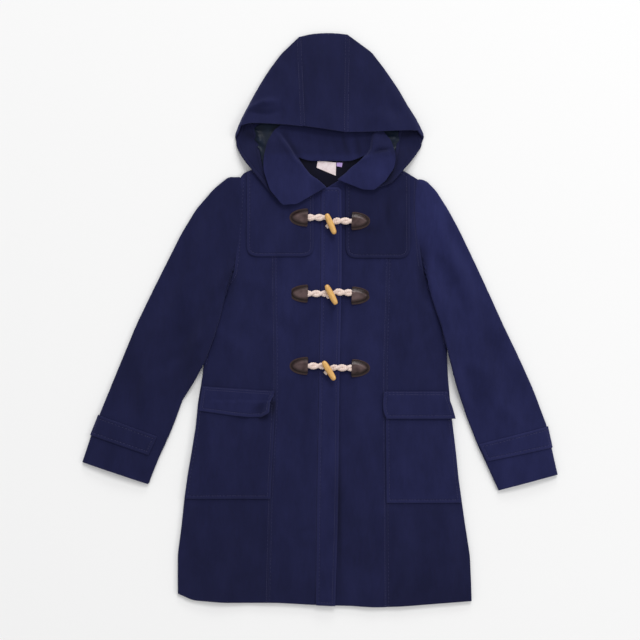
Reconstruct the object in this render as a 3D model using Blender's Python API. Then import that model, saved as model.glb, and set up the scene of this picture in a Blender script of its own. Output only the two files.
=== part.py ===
"""A hooded duffle coat, laid out face up with its hood above the neck.

+X is the wearer's left, +Y points to the hood and +Z is up; the coat rests on z = 0.
Every size below is in millimetres, and mesh_object turns them into metres.
"""

import math
from collections import namedtuple

import bmesh
import bpy
from mathutils import Vector
from mathutils.bvhtree import BVHTree

MM = 0.001

# Cloth
GAP = 0.3                    # between pieces that meet
WALL = 2.6                   # melton with its lining
PATCH = 1.8                  # one thickness of melton, stitched on
LINING = 1.0
TAPE = 0.6
COLLAR = 2.2
FLAP = 2.4
PLACKET = 3.4                # the fly band is doubled
SEAM_TOP = 2 * WALL + GAP    # where front and back lie flat on each other
LOFT = 3.1                   # how far the fronts rise over the middle of the body
EDGE_SOFTNESS = 18.0
SHOULDER_SOFTNESS = 26.0
FOLD_AIR = 0.8               # between two layers just inside a folded edge
FOLD_RADIUS = (WALL + FOLD_AIR) / 2
SLEEVE_LOFT = 3.2            # air in the middle of a sleeve
SLEEVE_RISE = 8.3            # underside of a sleeve where it lies over the body
LIP_RISE = 10.5              # how far the hood's mouth stands open
ON_PANEL = GAP + PATCH
ARMHOLE_EASE = 1.4

# Closure
TOGGLE_RADIUS = 4.8
CORD_WIDTH = 13.0
CORD_HEIGHT = 5.0
CORD_UNDER_TOGGLE = 3.2
LEATHER_RIM = 1.6
LEATHER_CROWN = 4.8

Side = namedtuple("Side", "y right left")
SIDES = (                                  # side seams, then the armholes above y = 101
    Side(-494, -248.0, 265.0),
    Side(-420, -248.7, 262.5),
    Side(-360, -242.0, 254.0),
    Side(-304, -236.0, 244.7),
    Side(-248, -227.5, 239.4),
    Side(-192, -217.7, 232.8),
    Side(-136, -212.0, 226.0),
    Side(-94, -204.8, 223.3),
    Side(-60, -201.5, 221.8),
    Side(-30, -199.0, 220.8),
    Side(5, -195.5, 218.5),
    Side(30, -190.0, 213.0),
    Side(48, -179.0, 203.0),
    Side(60, -166.0, 191.0),
    Side(72, -154.2, 183.6),
    Side(86, -150.2, 180.4),
    Side(101, -147.8, 177.4),
    Side(140, -145.2, 173.2),
    Side(200, -141.0, 169.6),
    Side(250, -138.3, 171.5),
)

Line = namedtuple("Line", "y yoke_r princess_r inner_r fly free inner_l princess_l yoke_l")
LINES = (                                  # lengthwise lines of the fronts: yoke edges, seams, fly band
    Line(-494, -170.0, -91.0, -22.0, -7.5, 26.5, 50.0, 117.0, 195.0),
    Line(-311, -158.0, -86.0, -20.0, -5.6, 31.7, 50.0, 115.5, 180.0),
    Line(-107, -142.0, -77.0, -15.0, -1.9, 33.8, 48.0, 114.0, 168.0),
    Line(107, -127.8, -79.6, -11.2, 1.4, 37.8, 44.8, 119.0, 156.6),
    Line(290, -127.8, -79.6, -11.2, 2.0, 36.8, 44.8, 119.0, 156.6),
)

Edge = namedtuple("Edge", "x y")
HEM = (
    Edge(-248, -478), Edge(-239, -488), Edge(-168, -494), Edge(-75, -494), Edge(26, -499.5),
    Edge(31, -497), Edge(63, -500), Edge(97, -502), Edge(149, -500), Edge(205, -495.5), Edge(265, -491),
)
SHOULDER_R = (Edge(-138.3, 250), Edge(-133, 257), Edge(-119, 262), Edge(-80, 276), Edge(-50, 288))
SHOULDER_L = (Edge(88, 288), Edge(118, 274), Edge(145, 261), Edge(157, 254), Edge(171.5, 245))
NECK_R = (Edge(-37, 279), Edge(-32, 267), Edge(-19, 251), Edge(-5, 241), Edge(2, 229))
NECK_L = (
    Edge(6, 227), Edge(28, 230), Edge(32, 242), Edge(46, 254), Edge(57, 265), Edge(68, 273), Edge(76, 280),
)
NECK_BACK = (Edge(-38, 278.5), Edge(-20, 276), Edge(20, 275.5), Edge(56, 276), Edge(75, 279))
SHOULDER_SLOPE_R = (Edge(-150, 246), Edge(-50, 288), Edge(0, 300))
SHOULDER_SLOPE_L = (Edge(40, 300), Edge(88, 288), Edge(185, 240))

Level = namedtuple("Level", "right left")
LEVELS = (                                 # heights at which the fronts have a row of points
    Level(-455, -458), Level(-408, -412), Level(-360, -366),
    Level(-312, -319), Level(-269, -274), Level(-226, -230), Level(-184, -185), Level(-141, -141),
    Level(-95, -95), Level(-45, -45), Level(5, 5), Level(36, 36), Level(58, 58), Level(80, 80),
    Level(110.6, 108), Level(125, 124), Level(150, 150),
)
POCKET_ROWS = (4, 9)         # first and past-last row, counting the hem as row 0
YOKE_ROW = 15
CORNER_CUT = 6.0
TOP_STEPS = 3
PLACKET_TOP = 231.0
PLACKET_CORNER = 5.0         # how much lower its outer corner ends
BACK_ACROSS = (0.0, 0.05, 0.12, 0.21, 0.29, 0.40, 0.51, 0.62, 0.72, 0.81, 0.90, 0.96, 1.0)
BACK_ROWS = (-455, -360, -269, -184, -95, -45, 5, 36, 58, 80, 110, 150, 200)

Fold = namedtuple("Fold", "x1 y1 x2 y2 height width")
FOLDS = (
    Fold(110, 236, 108, 160, 1.6, 15),
    Fold(124, 236, 124, 165, -1.4, 11),
    Fold(192, 28, 165, -37, 2.0, 14),
    Fold(205, -60, 150, -110, 1.2, 16),
    Fold(-171, -12, -168, -26, -1.8, 13),
    Fold(-150, 30, -120, -60, 1.4, 16),
    Fold(-4, -360, -49, -387, 1.6, 13),
    Fold(79, -345, 97, -460, 2.0, 14),
    Fold(-60, -420, -66, -500, 1.5, 16),
    Fold(-190, -400, -200, -500, 1.6, 18),
    Fold(190, -400, 200, -500, 1.6, 18),
)

Station = namedtuple("Station", "outer_x outer_y inner_x inner_y")
SLEEVE_R = (                               # outer and inner edge, from the armhole down to the cuff
    Station(-138.8, 249.5, -147.5, 103),
    Station(-160, 250, -153, 84),
    Station(-186, 229, -159, 63),
    Station(-217, 193, -165, 41),
    Station(-243, 150, -173, 7),
    Station(-267, 102, -186, -35),
    Station(-295, 46, -200, -72),
    Station(-322, -10, -219, -108),
    Station(-345, -66, -240, -140),
    Station(-368, -122, -256, -184),
    Station(-386, -166, -267, -210),
    Station(-400, -201, -282, -242),
    Station(-415.5, -248, -300, -287),
)
SLEEVE_L = (
    Station(172, 245.5, 175.9, 121),
    Station(185, 244, 183, 91),
    Station(203, 226, 187.2, 69),
    Station(224, 193, 192, 47),
    Station(243, 158, 200, 21),
    Station(267, 108, 211, -10),
    Station(293, 52, 222, -54),
    Station(321, -10, 234, -103),
    Station(348, -66, 243, -132),
    Station(373, -122, 257, -172),
    Station(397, -186, 275, -218),
    Station(405, -223, 289, -248),
    Station(415.5, -270, 312, -298),
)
SLEEVE_ACROSS = (0.13, 0.31, 0.5, 0.69, 0.87)
CUFF_TAB_STATIONS = (10, 12)

Outline = namedtuple("Outline", "y right left")
HOOD_OUTLINE = (                           # from the corners of the mouth up to the crown
    Outline(320, -150.0, 183.0),
    Outline(339.5, -143.2, 175.4),
    Outline(367.5, -129.5, 157.7),
    Outline(395.5, -114.5, 142.1),
    Outline(423.5, -97.8, 123.6),
    Outline(451.5, -79.3, 103.8),
    Outline(465.5, -67.6, 92.6),
    Outline(479.5, -54.1, 79.1),
    Outline(494.7, -36.8, 58.0),
    Outline(499.0, -30.0, 48.1),
)
CROWN = (Edge(-36.8, 494.7), Edge(-15, 500), Edge(16.8, 502), Edge(48.1, 499))
LIP = (
    Edge(-150, 320), Edge(-146, 335), Edge(-130, 343), Edge(-98, 343), Edge(-42, 339), Edge(14, 330),
    Edge(42, 327), Edge(98, 328), Edge(168, 331), Edge(178, 327), Edge(183, 320),
)
CROWN_SEAMS = {                            # from the mouth to the crown
    "right": (Edge(-29.8, 338), Edge(-36.8, 494.7)),
    "left": (Edge(45.5, 327), Edge(48.1, 499)),
}

Under = namedtuple("Under", "seam_x seam_y facing_x facing_y mouth_x mouth_y bulge")
HOOD_UNDER_R = (                           # the layer that lies beneath, from the crown to the neck
    Under(-35, 480, -121, 357, -146.5, 308, 8),
    Under(-32, 438, -114, 332, -141, 292, 7),
    Under(-28, 394, -108, 310, -131, 277, 6),
    Under(-23, 350, -104, 287, -119, 262, 8),
    Under(-19, 315, -99, 264, -104, 244, 15),
    Under(-17, 297, -84, 244, -84, 218, 20),
    Under(-16, 281, -58, 236, -56, 202, 29),
)
HOOD_UNDER_L = (
    Under(48, 480, 144, 354, 178.5, 308, 9),
    Under(49, 438, 138, 332, 172, 295, 8),
    Under(50, 394, 134, 310, 160, 278, 7),
    Under(51, 350, 130, 287, 145, 261, 8),
    Under(52, 315, 126, 262, 128, 242, 15),
    Under(52, 297, 104, 246, 112, 228, 20),
    Under(52, 281, 88, 240, 88, 214, 28),
)
HOOD_UNDER = {"right": HOOD_UNDER_R, "left": HOOD_UNDER_L}
HOOD_STEPS = (0.0, 0.2, 0.4, 0.6, 0.78, 0.92)
HOOD_ACROSS = (0.0, 0.175, 0.35, 0.525, 0.7, 0.85, 1.0)
FACING_FROM = 4
FIRST_ROW_RISE = 7.0         # where the first row of a side panel starts on its seam
FOLD_TURN = (90, 45, 0, -45, -90)
LINING_FIRST_ROW = 2         # the first row of the under layer that its lining covers

Roll = namedtuple("Roll", "neck_x neck_y roll_x roll_y edge_x edge_y z_neck z_roll z_edge fold")
COLLAR_ROLLS = (                           # across the collar: neck seam, roll line, outer edge
    Roll(10, 231, 10, 231, -40, 202, 12.4, 16.2, 15.8, 1.0),
    Roll(-3, 243, -3, 243, -65, 200, 12.4, 16.4, 17.4, 1.0),
    Roll(-17, 252, -17, 252, -87, 226, 12.4, 16.6, 17.8, 1.0),
    Roll(-29, 267, -29, 267, -98, 259, 12.4, 16.6, 16.4, 1.0),
    Roll(-35, 278, -35, 278, -98.5, 275, 12.4, 16.6, 14.5, 1.0),
    Roll(-38, 285, -42, 287, -97, 289, 12.0, 16.4, 12.0, 0.7),
    Roll(-28, 282, -53, 306, -91, 312, 9.0, 13.0, 7.4, 0.1),
    Roll(-14, 280, -65, 322, -80, 331, 6.0, 9.6, 7.0, 0.0),
    Roll(-3, 280, -48, 330, -60, 347, 5.4, 6.4, 6.0, 0.0),
    Roll(8, 280, -12, 318, -25, 350, 5.4, 5.4, 5.4, 0.0),
    Roll(20, 280, 20, 318, 20, 352, 5.4, 5.4, 5.4, 0.0),
    Roll(32, 280, 52, 318, 62, 350, 5.4, 5.4, 5.4, 0.0),
    Roll(43, 280, 78, 328, 92, 347, 5.4, 6.2, 6.0, 0.0),
    Roll(53, 280, 92, 322, 108, 332, 6.0, 9.6, 7.0, 0.0),
    Roll(66, 282, 89, 302, 124, 312, 9.0, 13.0, 7.4, 0.1),
    Roll(78, 287.5, 82, 290, 131, 290, 12.0, 16.4, 13.0, 0.7),
    Roll(74, 280.5, 74, 280.5, 131.5, 277, 12.4, 16.6, 15.0, 1.0),
    Roll(66, 273, 66, 273, 129, 265, 12.4, 16.6, 16.6, 1.0),
    Roll(55, 265, 55, 265, 114, 242, 12.4, 16.6, 17.8, 1.0),
    Roll(44, 254, 44, 254, 94, 226, 12.4, 16.4, 17.4, 1.0),
    Roll(31, 244, 31, 244, 75, 227, 12.4, 16.2, 15.8, 1.0),
)
ROLL_RADIUS = 2.2
NECK_MIDDLE = Edge(14, 262)
NECK_HALF = Edge(50, 36)
NECK_RISE = 1.4

NeckRow = namedtuple("NeckRow", "y left_x right_x")
LABEL = ((Edge(-4, 278.5), Edge(28.2, 275)), (Edge(-6, 266), Edge(27.5, 252)))
SIZE_TAB = ((Edge(29, 275), Edge(39.5, 274.5)), (Edge(29, 268.5), Edge(38, 267)))
NECK_LINING = (
    NeckRow(279, -30, 64), NeckRow(265, -34, 60), NeckRow(249, -21, 45), NeckRow(234, 3, 31),
)

Flap = namedtuple("Flap", "drop outer_r inner_r outer_l inner_l rise")
FLAPS = (                                  # below the line where the flap is stitched on
    Flap(0.00, -205.5, -78.5, 222.0, 112.0, 0.0),
    Flap(0.20, -206.5, -79.0, 224.0, 110.5, 0.3),
    Flap(0.42, -208.0, -81.0, 228.5, 109.5, 0.4),
    Flap(0.72, -209.5, -86.0, 233.0, 110.0, 0.4),
    Flap(1.00, -211.0, -94.0, 236.5, 116.0, 0.8),
)
FLAP_TOP = Side(0, -120.0, -124.5)         # middle of the stitched line, on each side
FLAP_DROP = Side(0, 47.0, 47.5)
FLAP_SLANT = Side(0, -0.062, 0.0)
FLAP_CURL = 3.0
FLAP_ACROSS = (0.0, 0.1, 0.3, 0.5, 0.7, 0.88, 1.0)

Closure = namedtuple("Closure", "toggle_x toggle_y cord_r_y cord_l_y")
CLOSURES = (
    Closure(18.5, 167, 178.5, 172.5),
    Closure(19.5, 44, 46.0, 42.5),
    Closure(15.5, -88, -80.0, -84.0),
)
TOGGLE_TURNS = (-67.0, -62.5, -58.5)       # degrees from +X
PATCH_EDGE_R = -21.0                       # straight edges of the leather patches
PATCH_EDGE_L = 55.0
PATCH_LENGTH = 32.0
PATCH_HALF_WIDTH = 15.6
TogglePoint = namedtuple("TogglePoint", "along radius")
TOGGLE_PROFILE = (
    TogglePoint(-20.0, 1.6), TogglePoint(-18.2, 3.6), TogglePoint(-12.0, 4.5),
    TogglePoint(0.0, TOGGLE_RADIUS),
    TogglePoint(12.0, 4.5), TogglePoint(18.2, 3.6), TogglePoint(20.0, 1.6),
)
TOGGLE_SIDES = 12
BUMPS = 5                    # along a cord

# Colours, roughness
NAVY = ((0.018, 0.019, 0.075), 0.92)
SATIN = ((0.012, 0.022, 0.050), 0.35)
LEATHER = ((0.045, 0.024, 0.020), 0.45)
WOOD = ((0.72, 0.42, 0.12), 0.5)
BRAID = ((0.80, 0.66, 0.60), 0.85)
WHITE_TAPE = ((0.85, 0.74, 0.78), 0.6)
LILAC_TAPE = ((0.45, 0.32, 0.62), 0.6)


def smoothstep(low, high, value):
    t = min(max((value - low) / (high - low), 0.0), 1.0)
    return t * t * (3.0 - 2.0 * t)


def curve(points, at):
    """Smooth value at a place along (place, value) points, which never swings past them."""
    places = [p for p, _ in points]
    values = [v for _, v in points]
    if at <= places[0]:
        return values[0]
    if at >= places[-1]:
        return values[-1]
    slopes = [(values[i + 1] - values[i]) / (places[i + 1] - places[i]) for i in range(len(points) - 1)]
    tangents = [slopes[0]]
    for before, after in zip(slopes, slopes[1:]):
        same_way = before * after > 0.0
        tangents.append(2.0 * before * after / (before + after) if same_way else 0.0)
    tangents.append(slopes[-1])
    i = max(k for k in range(len(places) - 1) if places[k] <= at)
    span = places[i + 1] - places[i]
    t = (at - places[i]) / span
    return ((1 + 2 * t) * (1 - t) ** 2 * values[i] + t * (1 - t) ** 2 * span * tangents[i]
            + t * t * (3 - 2 * t) * values[i + 1] + t * t * (t - 1) * span * tangents[i + 1])


def column(table, key, name, at):
    return curve(sorted((getattr(row, key), getattr(row, name)) for row in table), at)


def straight(table, key, name, at):
    """Like column, with straight stretches between the rows."""
    rows = sorted((getattr(row, key), getattr(row, name)) for row in table)
    for (x0, v0), (x1, v1) in zip(rows, rows[1:]):
        if at <= x1:
            return v0 + (v1 - v0) * max((at - x0) / (x1 - x0), 0.0)
    return rows[-1][1]


def lerp(a, b, t):
    return a + (b - a) * t


def side_x(side, y):
    return column(SIDES, "y", side, y)


def line_x(name, y):
    return column(LINES, "y", name, y)


def hem_y(x):
    return straight(HEM, "x", "y", x)


FRONT_TOP = {"right": SHOULDER_R + NECK_R, "left": NECK_L + SHOULDER_L}
SLOPE = {"right": SHOULDER_SLOPE_R, "left": SHOULDER_SLOPE_L}


def front_top_y(side, x):
    return straight(FRONT_TOP[side], "x", "y", x)


def shoulder_depth(side, x, y):
    """How far a point lies below the shoulder line."""
    return straight(SLOPE[side], "x", "y", x) - y


def fold_height(x, y):
    height = 0.0
    for fold in FOLDS:
        ax, ay = fold.x2 - fold.x1, fold.y2 - fold.y1
        t = ((x - fold.x1) * ax + (y - fold.y1) * ay) / (ax * ax + ay * ay)
        t = min(max(t, 0.0), 1.0)
        away = math.hypot(x - fold.x1 - t * ax, y - fold.y1 - t * ay)
        taper = 0.35 + 0.65 * math.sin(math.pi * min(max(t, 0.0), 1.0))
        height += fold.height * taper * math.exp(-(away / fold.width) ** 2)
    return height


def body_top(side, x, y):
    """Height of a front's outer face."""
    from_side = abs(x - side_x(side, y))
    rise = 1.0 - math.exp(-from_side / EDGE_SOFTNESS)
    rise *= 1.0 - 0.7 * math.exp(-max(y - hem_y(x), 0.0) / EDGE_SOFTNESS)
    rise *= 1.0 - 0.8 * math.exp(-max(shoulder_depth(side, x, y), 0.0) / SHOULDER_SOFTNESS)
    if side == "left":
        free = line_x("free", y)
        rise *= smoothstep(free + 1.0, free + 40.0, x)
    return SEAM_TOP + neck_rise(x, y) + (LOFT + fold_height(x, y)) * rise


def neck_rise(x, y):
    """The fronts and the fly band stand off the neck lining round the neck."""
    away = math.hypot((x - NECK_MIDDLE.x) / NECK_HALF.x, (y - NECK_MIDDLE.y) / NECK_HALF.y)
    return NECK_RISE * (1.0 - smoothstep(1.0, 1.6, away))


def surface_of(*things):
    """One searchable surface over several solids, in millimetres."""
    vertices, faces = [], []
    for thing in things:
        first = len(vertices)
        vertices += [v.co / MM for v in thing.data.vertices]
        faces += [[first + i for i in face.vertices] for face in thing.data.polygons]
    return BVHTree.FromPolygons(vertices, faces)


def height_over(surface, x, y, reach):
    """The highest place of a surface near a spot."""
    highest = 0.0
    for turn in range(9):
        away = reach if turn else 0.0
        angle = turn * math.pi / 4
        start = Vector((x + away * math.cos(angle), y + away * math.sin(angle), 100.0))
        hit = surface.ray_cast(start, Vector((0.0, 0.0, -1.0)))[0]
        if hit is not None:
            highest = max(highest, hit.z)
    return highest


# ---------------------------------------------------------------------------------------------- solids

def mesh_object(name, vertices, faces, material):
    mesh = bpy.data.meshes.new(name)
    mesh.from_pydata([Vector(v) * MM for v in vertices], [], faces)
    body = bmesh.new()
    body.from_mesh(mesh)
    bmesh.ops.recalc_face_normals(body, faces=body.faces)
    bmesh.ops.triangulate(body, faces=body.faces)
    body.to_mesh(mesh)
    body.free()
    mesh.shade_smooth()
    mesh.set_sharp_from_angle(angle=math.radians(40))
    mesh.materials.append(material)
    thing = bpy.data.objects.new(name, mesh)
    bpy.context.scene.collection.objects.link(thing)
    return thing


def slab(name, low, high, material, ring=False):
    """A closed wall between two grids of points; ring joins each row's last point to its first."""
    rows, columns = len(low), len(low[0])
    count = rows * columns
    vertices = [p for grid in (low, high) for row in grid for p in row]
    across = columns if ring else columns - 1
    faces = []
    for i in range(rows - 1):
        for j in range(across):
            k = (j + 1) % columns
            a, b, c, d = i * columns + j, i * columns + k, (i + 1) * columns + k, (i + 1) * columns + j
            faces.append((a, b, c, d))
            faces.append((d + count, c + count, b + count, a + count))
    border = [(j, (j + 1) % columns) for j in range(across)]
    last = (rows - 1) * columns
    rims = [(a, b) for a, b in border] + [(last + b, last + a) for a, b in border]
    if not ring:
        rims += [((i + 1) * columns, i * columns) for i in range(rows - 1)]
        rims += [((i + 1) * columns - 1, (i + 2) * columns - 1) for i in range(rows - 1)]
    for a, b in rims:
        faces.append((b, a, a + count, b + count))
    return mesh_object(name, vertices, faces, material)


def lifted(grid, height):
    """A grid moved straight up, by a number or by a function of x and y."""
    rise = height if callable(height) else (lambda x, y: height)
    return [[Vector((p[0], p[1], p[2] + rise(p[0], p[1]))) for p in row] for row in grid]


def normals(grid, ring=False):
    """Unit normal at each point of a grid, across its rows and columns."""
    rows, columns = len(grid), len(grid[0])
    result = []
    for i in range(rows):
        line = []
        for j in range(columns):
            before = grid[i][(j - 1) % columns] if ring else grid[i][max(j - 1, 0)]
            after = grid[i][(j + 1) % columns] if ring else grid[i][min(j + 1, columns - 1)]
            along = grid[min(i + 1, rows - 1)][j] - grid[max(i - 1, 0)][j]
            line.append(along.cross(after - before).normalized())
        result.append(line)
    return result


def moved(grid, ways, distance):
    return [[p + n * distance for p, n in zip(row, way)] for row, way in zip(grid, ways)]


def cloth_slab(name, grid, ways, near, far, material, ring=False):
    """A wall between two distances from a middle surface."""
    return slab(name, moved(grid, ways, near), moved(grid, ways, far), material, ring)


def facing_up(ways, row, column_number):
    """The same normals, all turned over if the one at the given place points down."""
    if ways[row][column_number].z > 0:
        return ways
    return [[-way for way in line_of_ways] for line_of_ways in ways]


def finish(name, look):
    colour, roughness = look
    material = bpy.data.materials.new(name)
    material.use_nodes = True
    shader = material.node_tree.nodes["Principled BSDF"]
    shader.inputs["Base Color"].default_value = (*colour, 1.0)
    shader.inputs["Roughness"].default_value = roughness
    return material


# ------------------------------------------------------------------------------------------------ body

def front_row_y(side, row, x):
    """Height of a row of points at a place across a front."""
    if row == 0:
        return hem_y(x)
    if row <= len(LEVELS):
        return getattr(LEVELS[row - 1], side)
    share = (row - len(LEVELS)) / TOP_STEPS
    return lerp(getattr(LEVELS[-1], side), front_top_y(side, x), share)


FRONT_ROWS = len(LEVELS) + 1 + TOP_STEPS


def front_point(side, row, place):
    """The point of a row at a place given as a function of the height."""
    x = place(0.0)
    for _ in range(4):
        y = front_row_y(side, row, x)
        x = place(y)
    return Vector((x, front_row_y(side, row, x), body_top(side, x, front_row_y(side, row, x))))


def front_grid(side, stops, cells):
    """Outer face of a panel between lengthwise lines, with so many cells between each two of them."""
    grid = []
    for row in range(FRONT_ROWS):
        points = []
        for (start, end), count in zip(zip(stops, stops[1:]), cells):
            for k in range(count):
                place = lambda y, s=start, e=end, t=k / count: lerp(s(y), e(y), t)
                points.append(front_point(side, row, place))
        points.append(front_point(side, row, stops[-1]))
        grid.append(points)
    return grid


def line(name, shift=0.0):
    return lambda y: line_x(name, y) + shift


def side_line(side):
    return lambda y: side_x(side, y)


def build_fronts(navy):
    """The two fronts, cut at the princess seams, with their yokes and pockets."""
    half = GAP / 2
    panels = {
        "right": (
            front_grid("right", (side_line("right"), line("yoke_r"), line("princess_r", -half)), (3, 3)),
            front_grid("right", (line("princess_r", half), line("inner_r"), line("fly", -half)), (4, 1)),
        ),
        "left": (
            front_grid("left", (side_line("left"), line("yoke_l"), line("princess_l", half)), (3, 3)),
            front_grid("left", (line("princess_l", -half), line("inner_l"), line("free", 1.0),
                                line("fly", 4.0)), (4, 1, 1)),
        ),
    }
    made = []
    for side, (outer, centre) in panels.items():
        tag = side[0]
        made.append(slab("front_side_" + tag, lifted(outer, -WALL), outer, navy("front side " + tag)))
        made.append(slab("front_centre_" + tag, lifted(centre, -WALL), centre, navy("front centre " + tag)))
        first, past = POCKET_ROWS
        pocket = outer[first:past]
        made.append(slab("pocket_" + tag, lifted(pocket, GAP), lifted(pocket, ON_PANEL),
                         navy("pocket " + tag)))
        yoke = [a[3:] + b[1:5] for a, b in zip(outer, centre)][YOKE_ROW:]
        for end, inward in ((0, 1), (-1, -2)):
            corner, across = yoke[0][end], yoke[1][inward]
            cut = CORNER_CUT / (across - corner).length
            yoke[0][end] = corner.lerp(across, cut) + Vector((0.0, 0.0, GAP))
        made.append(slab("yoke_" + tag, lifted(yoke, GAP), lifted(yoke, ON_PANEL), navy("yoke " + tag)))
    return made


def build_placket(navy):
    """The fly band: from its stitched line on the right front to the free edge over the left front."""
    grid = []
    for row in range(FRONT_ROWS):
        above = row - len(LEVELS)
        points = []
        for share in (0.0, 0.35, 0.85, 1.0):
            x = lerp(line_x("fly", -494), line_x("free", -494), share)
            y = front_row_y("right", min(row, len(LEVELS)), x)
            if above > 0:
                corner = PLACKET_CORNER if share == 1.0 else 0.0
                y = lerp(y, PLACKET_TOP - corner, above / TOP_STEPS)
            x = lerp(line_x("fly", y) + GAP / 2, line_x("free", y), share)
            points.append(Vector((x, y, SEAM_TOP + GAP + neck_rise(x, y))))
        grid.append(points)
    return slab("placket", grid, lifted(grid, PLACKET), navy("placket"))


def build_back(navy):
    """One plain panel that lies flat on the surface."""
    top = SHOULDER_R + NECK_BACK + SHOULDER_L
    grid = []
    for row in range(len(BACK_ROWS) + 2):
        points = []
        for share in BACK_ACROSS:
            y = BACK_ROWS[min(max(row - 1, 0), len(BACK_ROWS) - 1)]
            for _ in range(4):
                x = lerp(side_x("right", y), side_x("left", y), share)
                if row == 0:
                    y = hem_y(x)
                elif row == len(BACK_ROWS) + 1:
                    y = straight(top, "x", "y", x)
            points.append(Vector((x, y, 0.0)))
        grid.append(points)
    return slab("back", grid, lifted(grid, WALL), navy("back"))


def build_flaps(navy, panels):
    """Flaps that hang from their stitched line and lie on the pockets."""
    under = surface_of(*panels)
    for side in ("right", "left"):
        tag = side[0]
        outside = -1.0 if side == "right" else 1.0
        grid = []
        for row in FLAPS:
            points = []
            for share in FLAP_ACROSS:
                x = lerp(getattr(row, "outer_" + tag), getattr(row, "inner_" + tag), share)
                y = getattr(FLAP_TOP, side) + getattr(FLAP_SLANT, side) * (x + 142.0)
                y -= row.drop * getattr(FLAP_DROP, side)
                nearest = abs(line_x("princess_" + tag, y)) + 4.0
                on_body = outside * min(max(abs(x), nearest), abs(side_x(side, y)) - 2.0)
                z = height_over(under, on_body, y, 9.0) + GAP + row.rise
                if side == "right" and share > 0.8:
                    curl = row.drop ** 2 * (share - 0.8) / 0.2
                    z += FLAP_CURL * curl
                    y += 4 * FLAP_CURL * curl
                points.append(Vector((x, y, z)))
            grid.append(points)
        slab("flap_" + tag, grid, lifted(grid, FLAP), navy("flap " + tag))


# --------------------------------------------------------------------------------------------- sleeves

def edge_inward(table, index, end):
    """Direction from a folded edge of the sleeve into the sleeve, square to the edge."""
    above, below = table[max(index - 1, 0)], table[min(index + 1, len(table) - 1)]
    x, y = end + "_x", end + "_y"
    edge = Vector((getattr(below, x) - getattr(above, x), getattr(below, y) - getattr(above, y), 0.0))
    edge.normalize()
    row = table[index]
    across = Vector((row.inner_x - row.outer_x, row.inner_y - row.outer_y, 0.0))
    across *= 1 if end == "outer" else -1
    square = Vector((-edge.y, edge.x, 0.0))
    return square if square.dot(across) > 0 else -square


def sleeve_floor(side, x, y):
    """Underside of a sleeve: on the floor, and up over the side of the body below the underarm."""
    beyond = abs(x) - abs(side_x(side, y))
    return SLEEVE_RISE * (1.0 - smoothstep(4.0, 30.0, beyond)) * (1.0 - smoothstep(70.0, 106.0, y))


def sleeve_ring(side, table, index):
    """Middle of the sleeve's wall round one station: over the top from outer to inner edge, then back."""
    station = table[index]
    outside = -1.0 if side == "right" else 1.0
    ends = [Vector((station.outer_x, station.outer_y, 0.0)),
            Vector((station.inner_x, station.inner_y, 0.0))]
    if index == 0:
        for end in ends:
            end.x = side_x(side, end.y) + outside * ARMHOLE_EASE
    inward = (edge_inward(table, index, "outer"), edge_inward(table, index, "inner"))
    floors = [sleeve_floor(side, end.x, end.y) for end in ends]

    def fold(end, angle):
        """Point round a folded edge, from the top layer at 90 degrees to the lower one at -90."""
        inset = WALL / 2 + FOLD_RADIUS * (1 - math.cos(math.radians(angle)))
        point = ends[end] + inward[end] * inset
        point.z = floors[end] + WALL / 2 + FOLD_RADIUS * (1 + math.sin(math.radians(angle)))
        return point

    def between(share, height):
        point = fold(0, 90).lerp(fold(1, 90), share)
        if index == 0:
            point.x = side_x(side, point.y) + outside * ARMHOLE_EASE
        point.z = sleeve_floor(side, point.x, point.y) + height
        return point

    points = [fold(0, angle) for angle in (0, 45, 90)]
    for share in SLEEVE_ACROSS:
        air = FOLD_AIR + (SLEEVE_LOFT - FOLD_AIR) * math.sin(math.pi * share) ** 0.7
        points.append(between(share, 1.5 * WALL + air))
    points += [fold(1, angle) for angle in (90, 45, 0, -45, -90)]
    points += [between(share, WALL / 2) for share in reversed(SLEEVE_ACROSS)]
    points += [fold(0, angle) for angle in (-90, -45)]
    return points


def build_sleeves(navy):
    for side, table in (("right", SLEEVE_R), ("left", SLEEVE_L)):
        tag = side[0]
        grid = [sleeve_ring(side, table, index) for index in range(len(table))]
        ways = facing_up(normals(grid, ring=True), 5, 5)
        cloth_slab("sleeve_" + tag, grid, ways, -WALL / 2, WALL / 2, navy("sleeve " + tag), ring=True)
        first, past = CUFF_TAB_STATIONS
        last = len(SLEEVE_ACROSS) + (3 if side == "right" else 4)
        strip = [row[:last] for row in grid[first:past]]
        strip_ways = [row[:last] for row in ways[first:past]]
        near = WALL / 2 + GAP
        cloth_slab("cuff_tab_" + tag, strip, strip_ways, near, near + PATCH, navy("cuff tab " + tag))


# ------------------------------------------------------------------------------------------------ hood

def hood_floor(x, y):
    """Underside of the hood's lower layer: on the floor, then up over the shoulders and the yokes."""
    if x < 20.0:
        side, inward = "right", 1.0 - smoothstep(-38.0, -18.0, x)
    else:
        side, inward = "left", smoothstep(56.0, 75.0, x)
    depth = shoulder_depth(side, x, y)
    rise = smoothstep(-52.0, -20.0, depth) * inward
    return rise * (body_top(side, x, y + min(depth, 0.0)) + ON_PANEL + 0.5)


def hood_seam_height(share):
    """Middle of the upper layer along the crown seams, from the mouth (0) to the crown (1)."""
    return WALL / 2 + 2 * FOLD_RADIUS + LIP_RISE * (1.0 - share) ** 0.8


def hood_edge(side, share):
    """Point of the hood's outline, from the crown seam (0) to the corner of the mouth (1)."""
    y = lerp(CROWN_SEAMS[side][1].y, HOOD_OUTLINE[0].y, share)
    return Vector((column(HOOD_OUTLINE, "y", side, y), y, 0.0))


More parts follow.
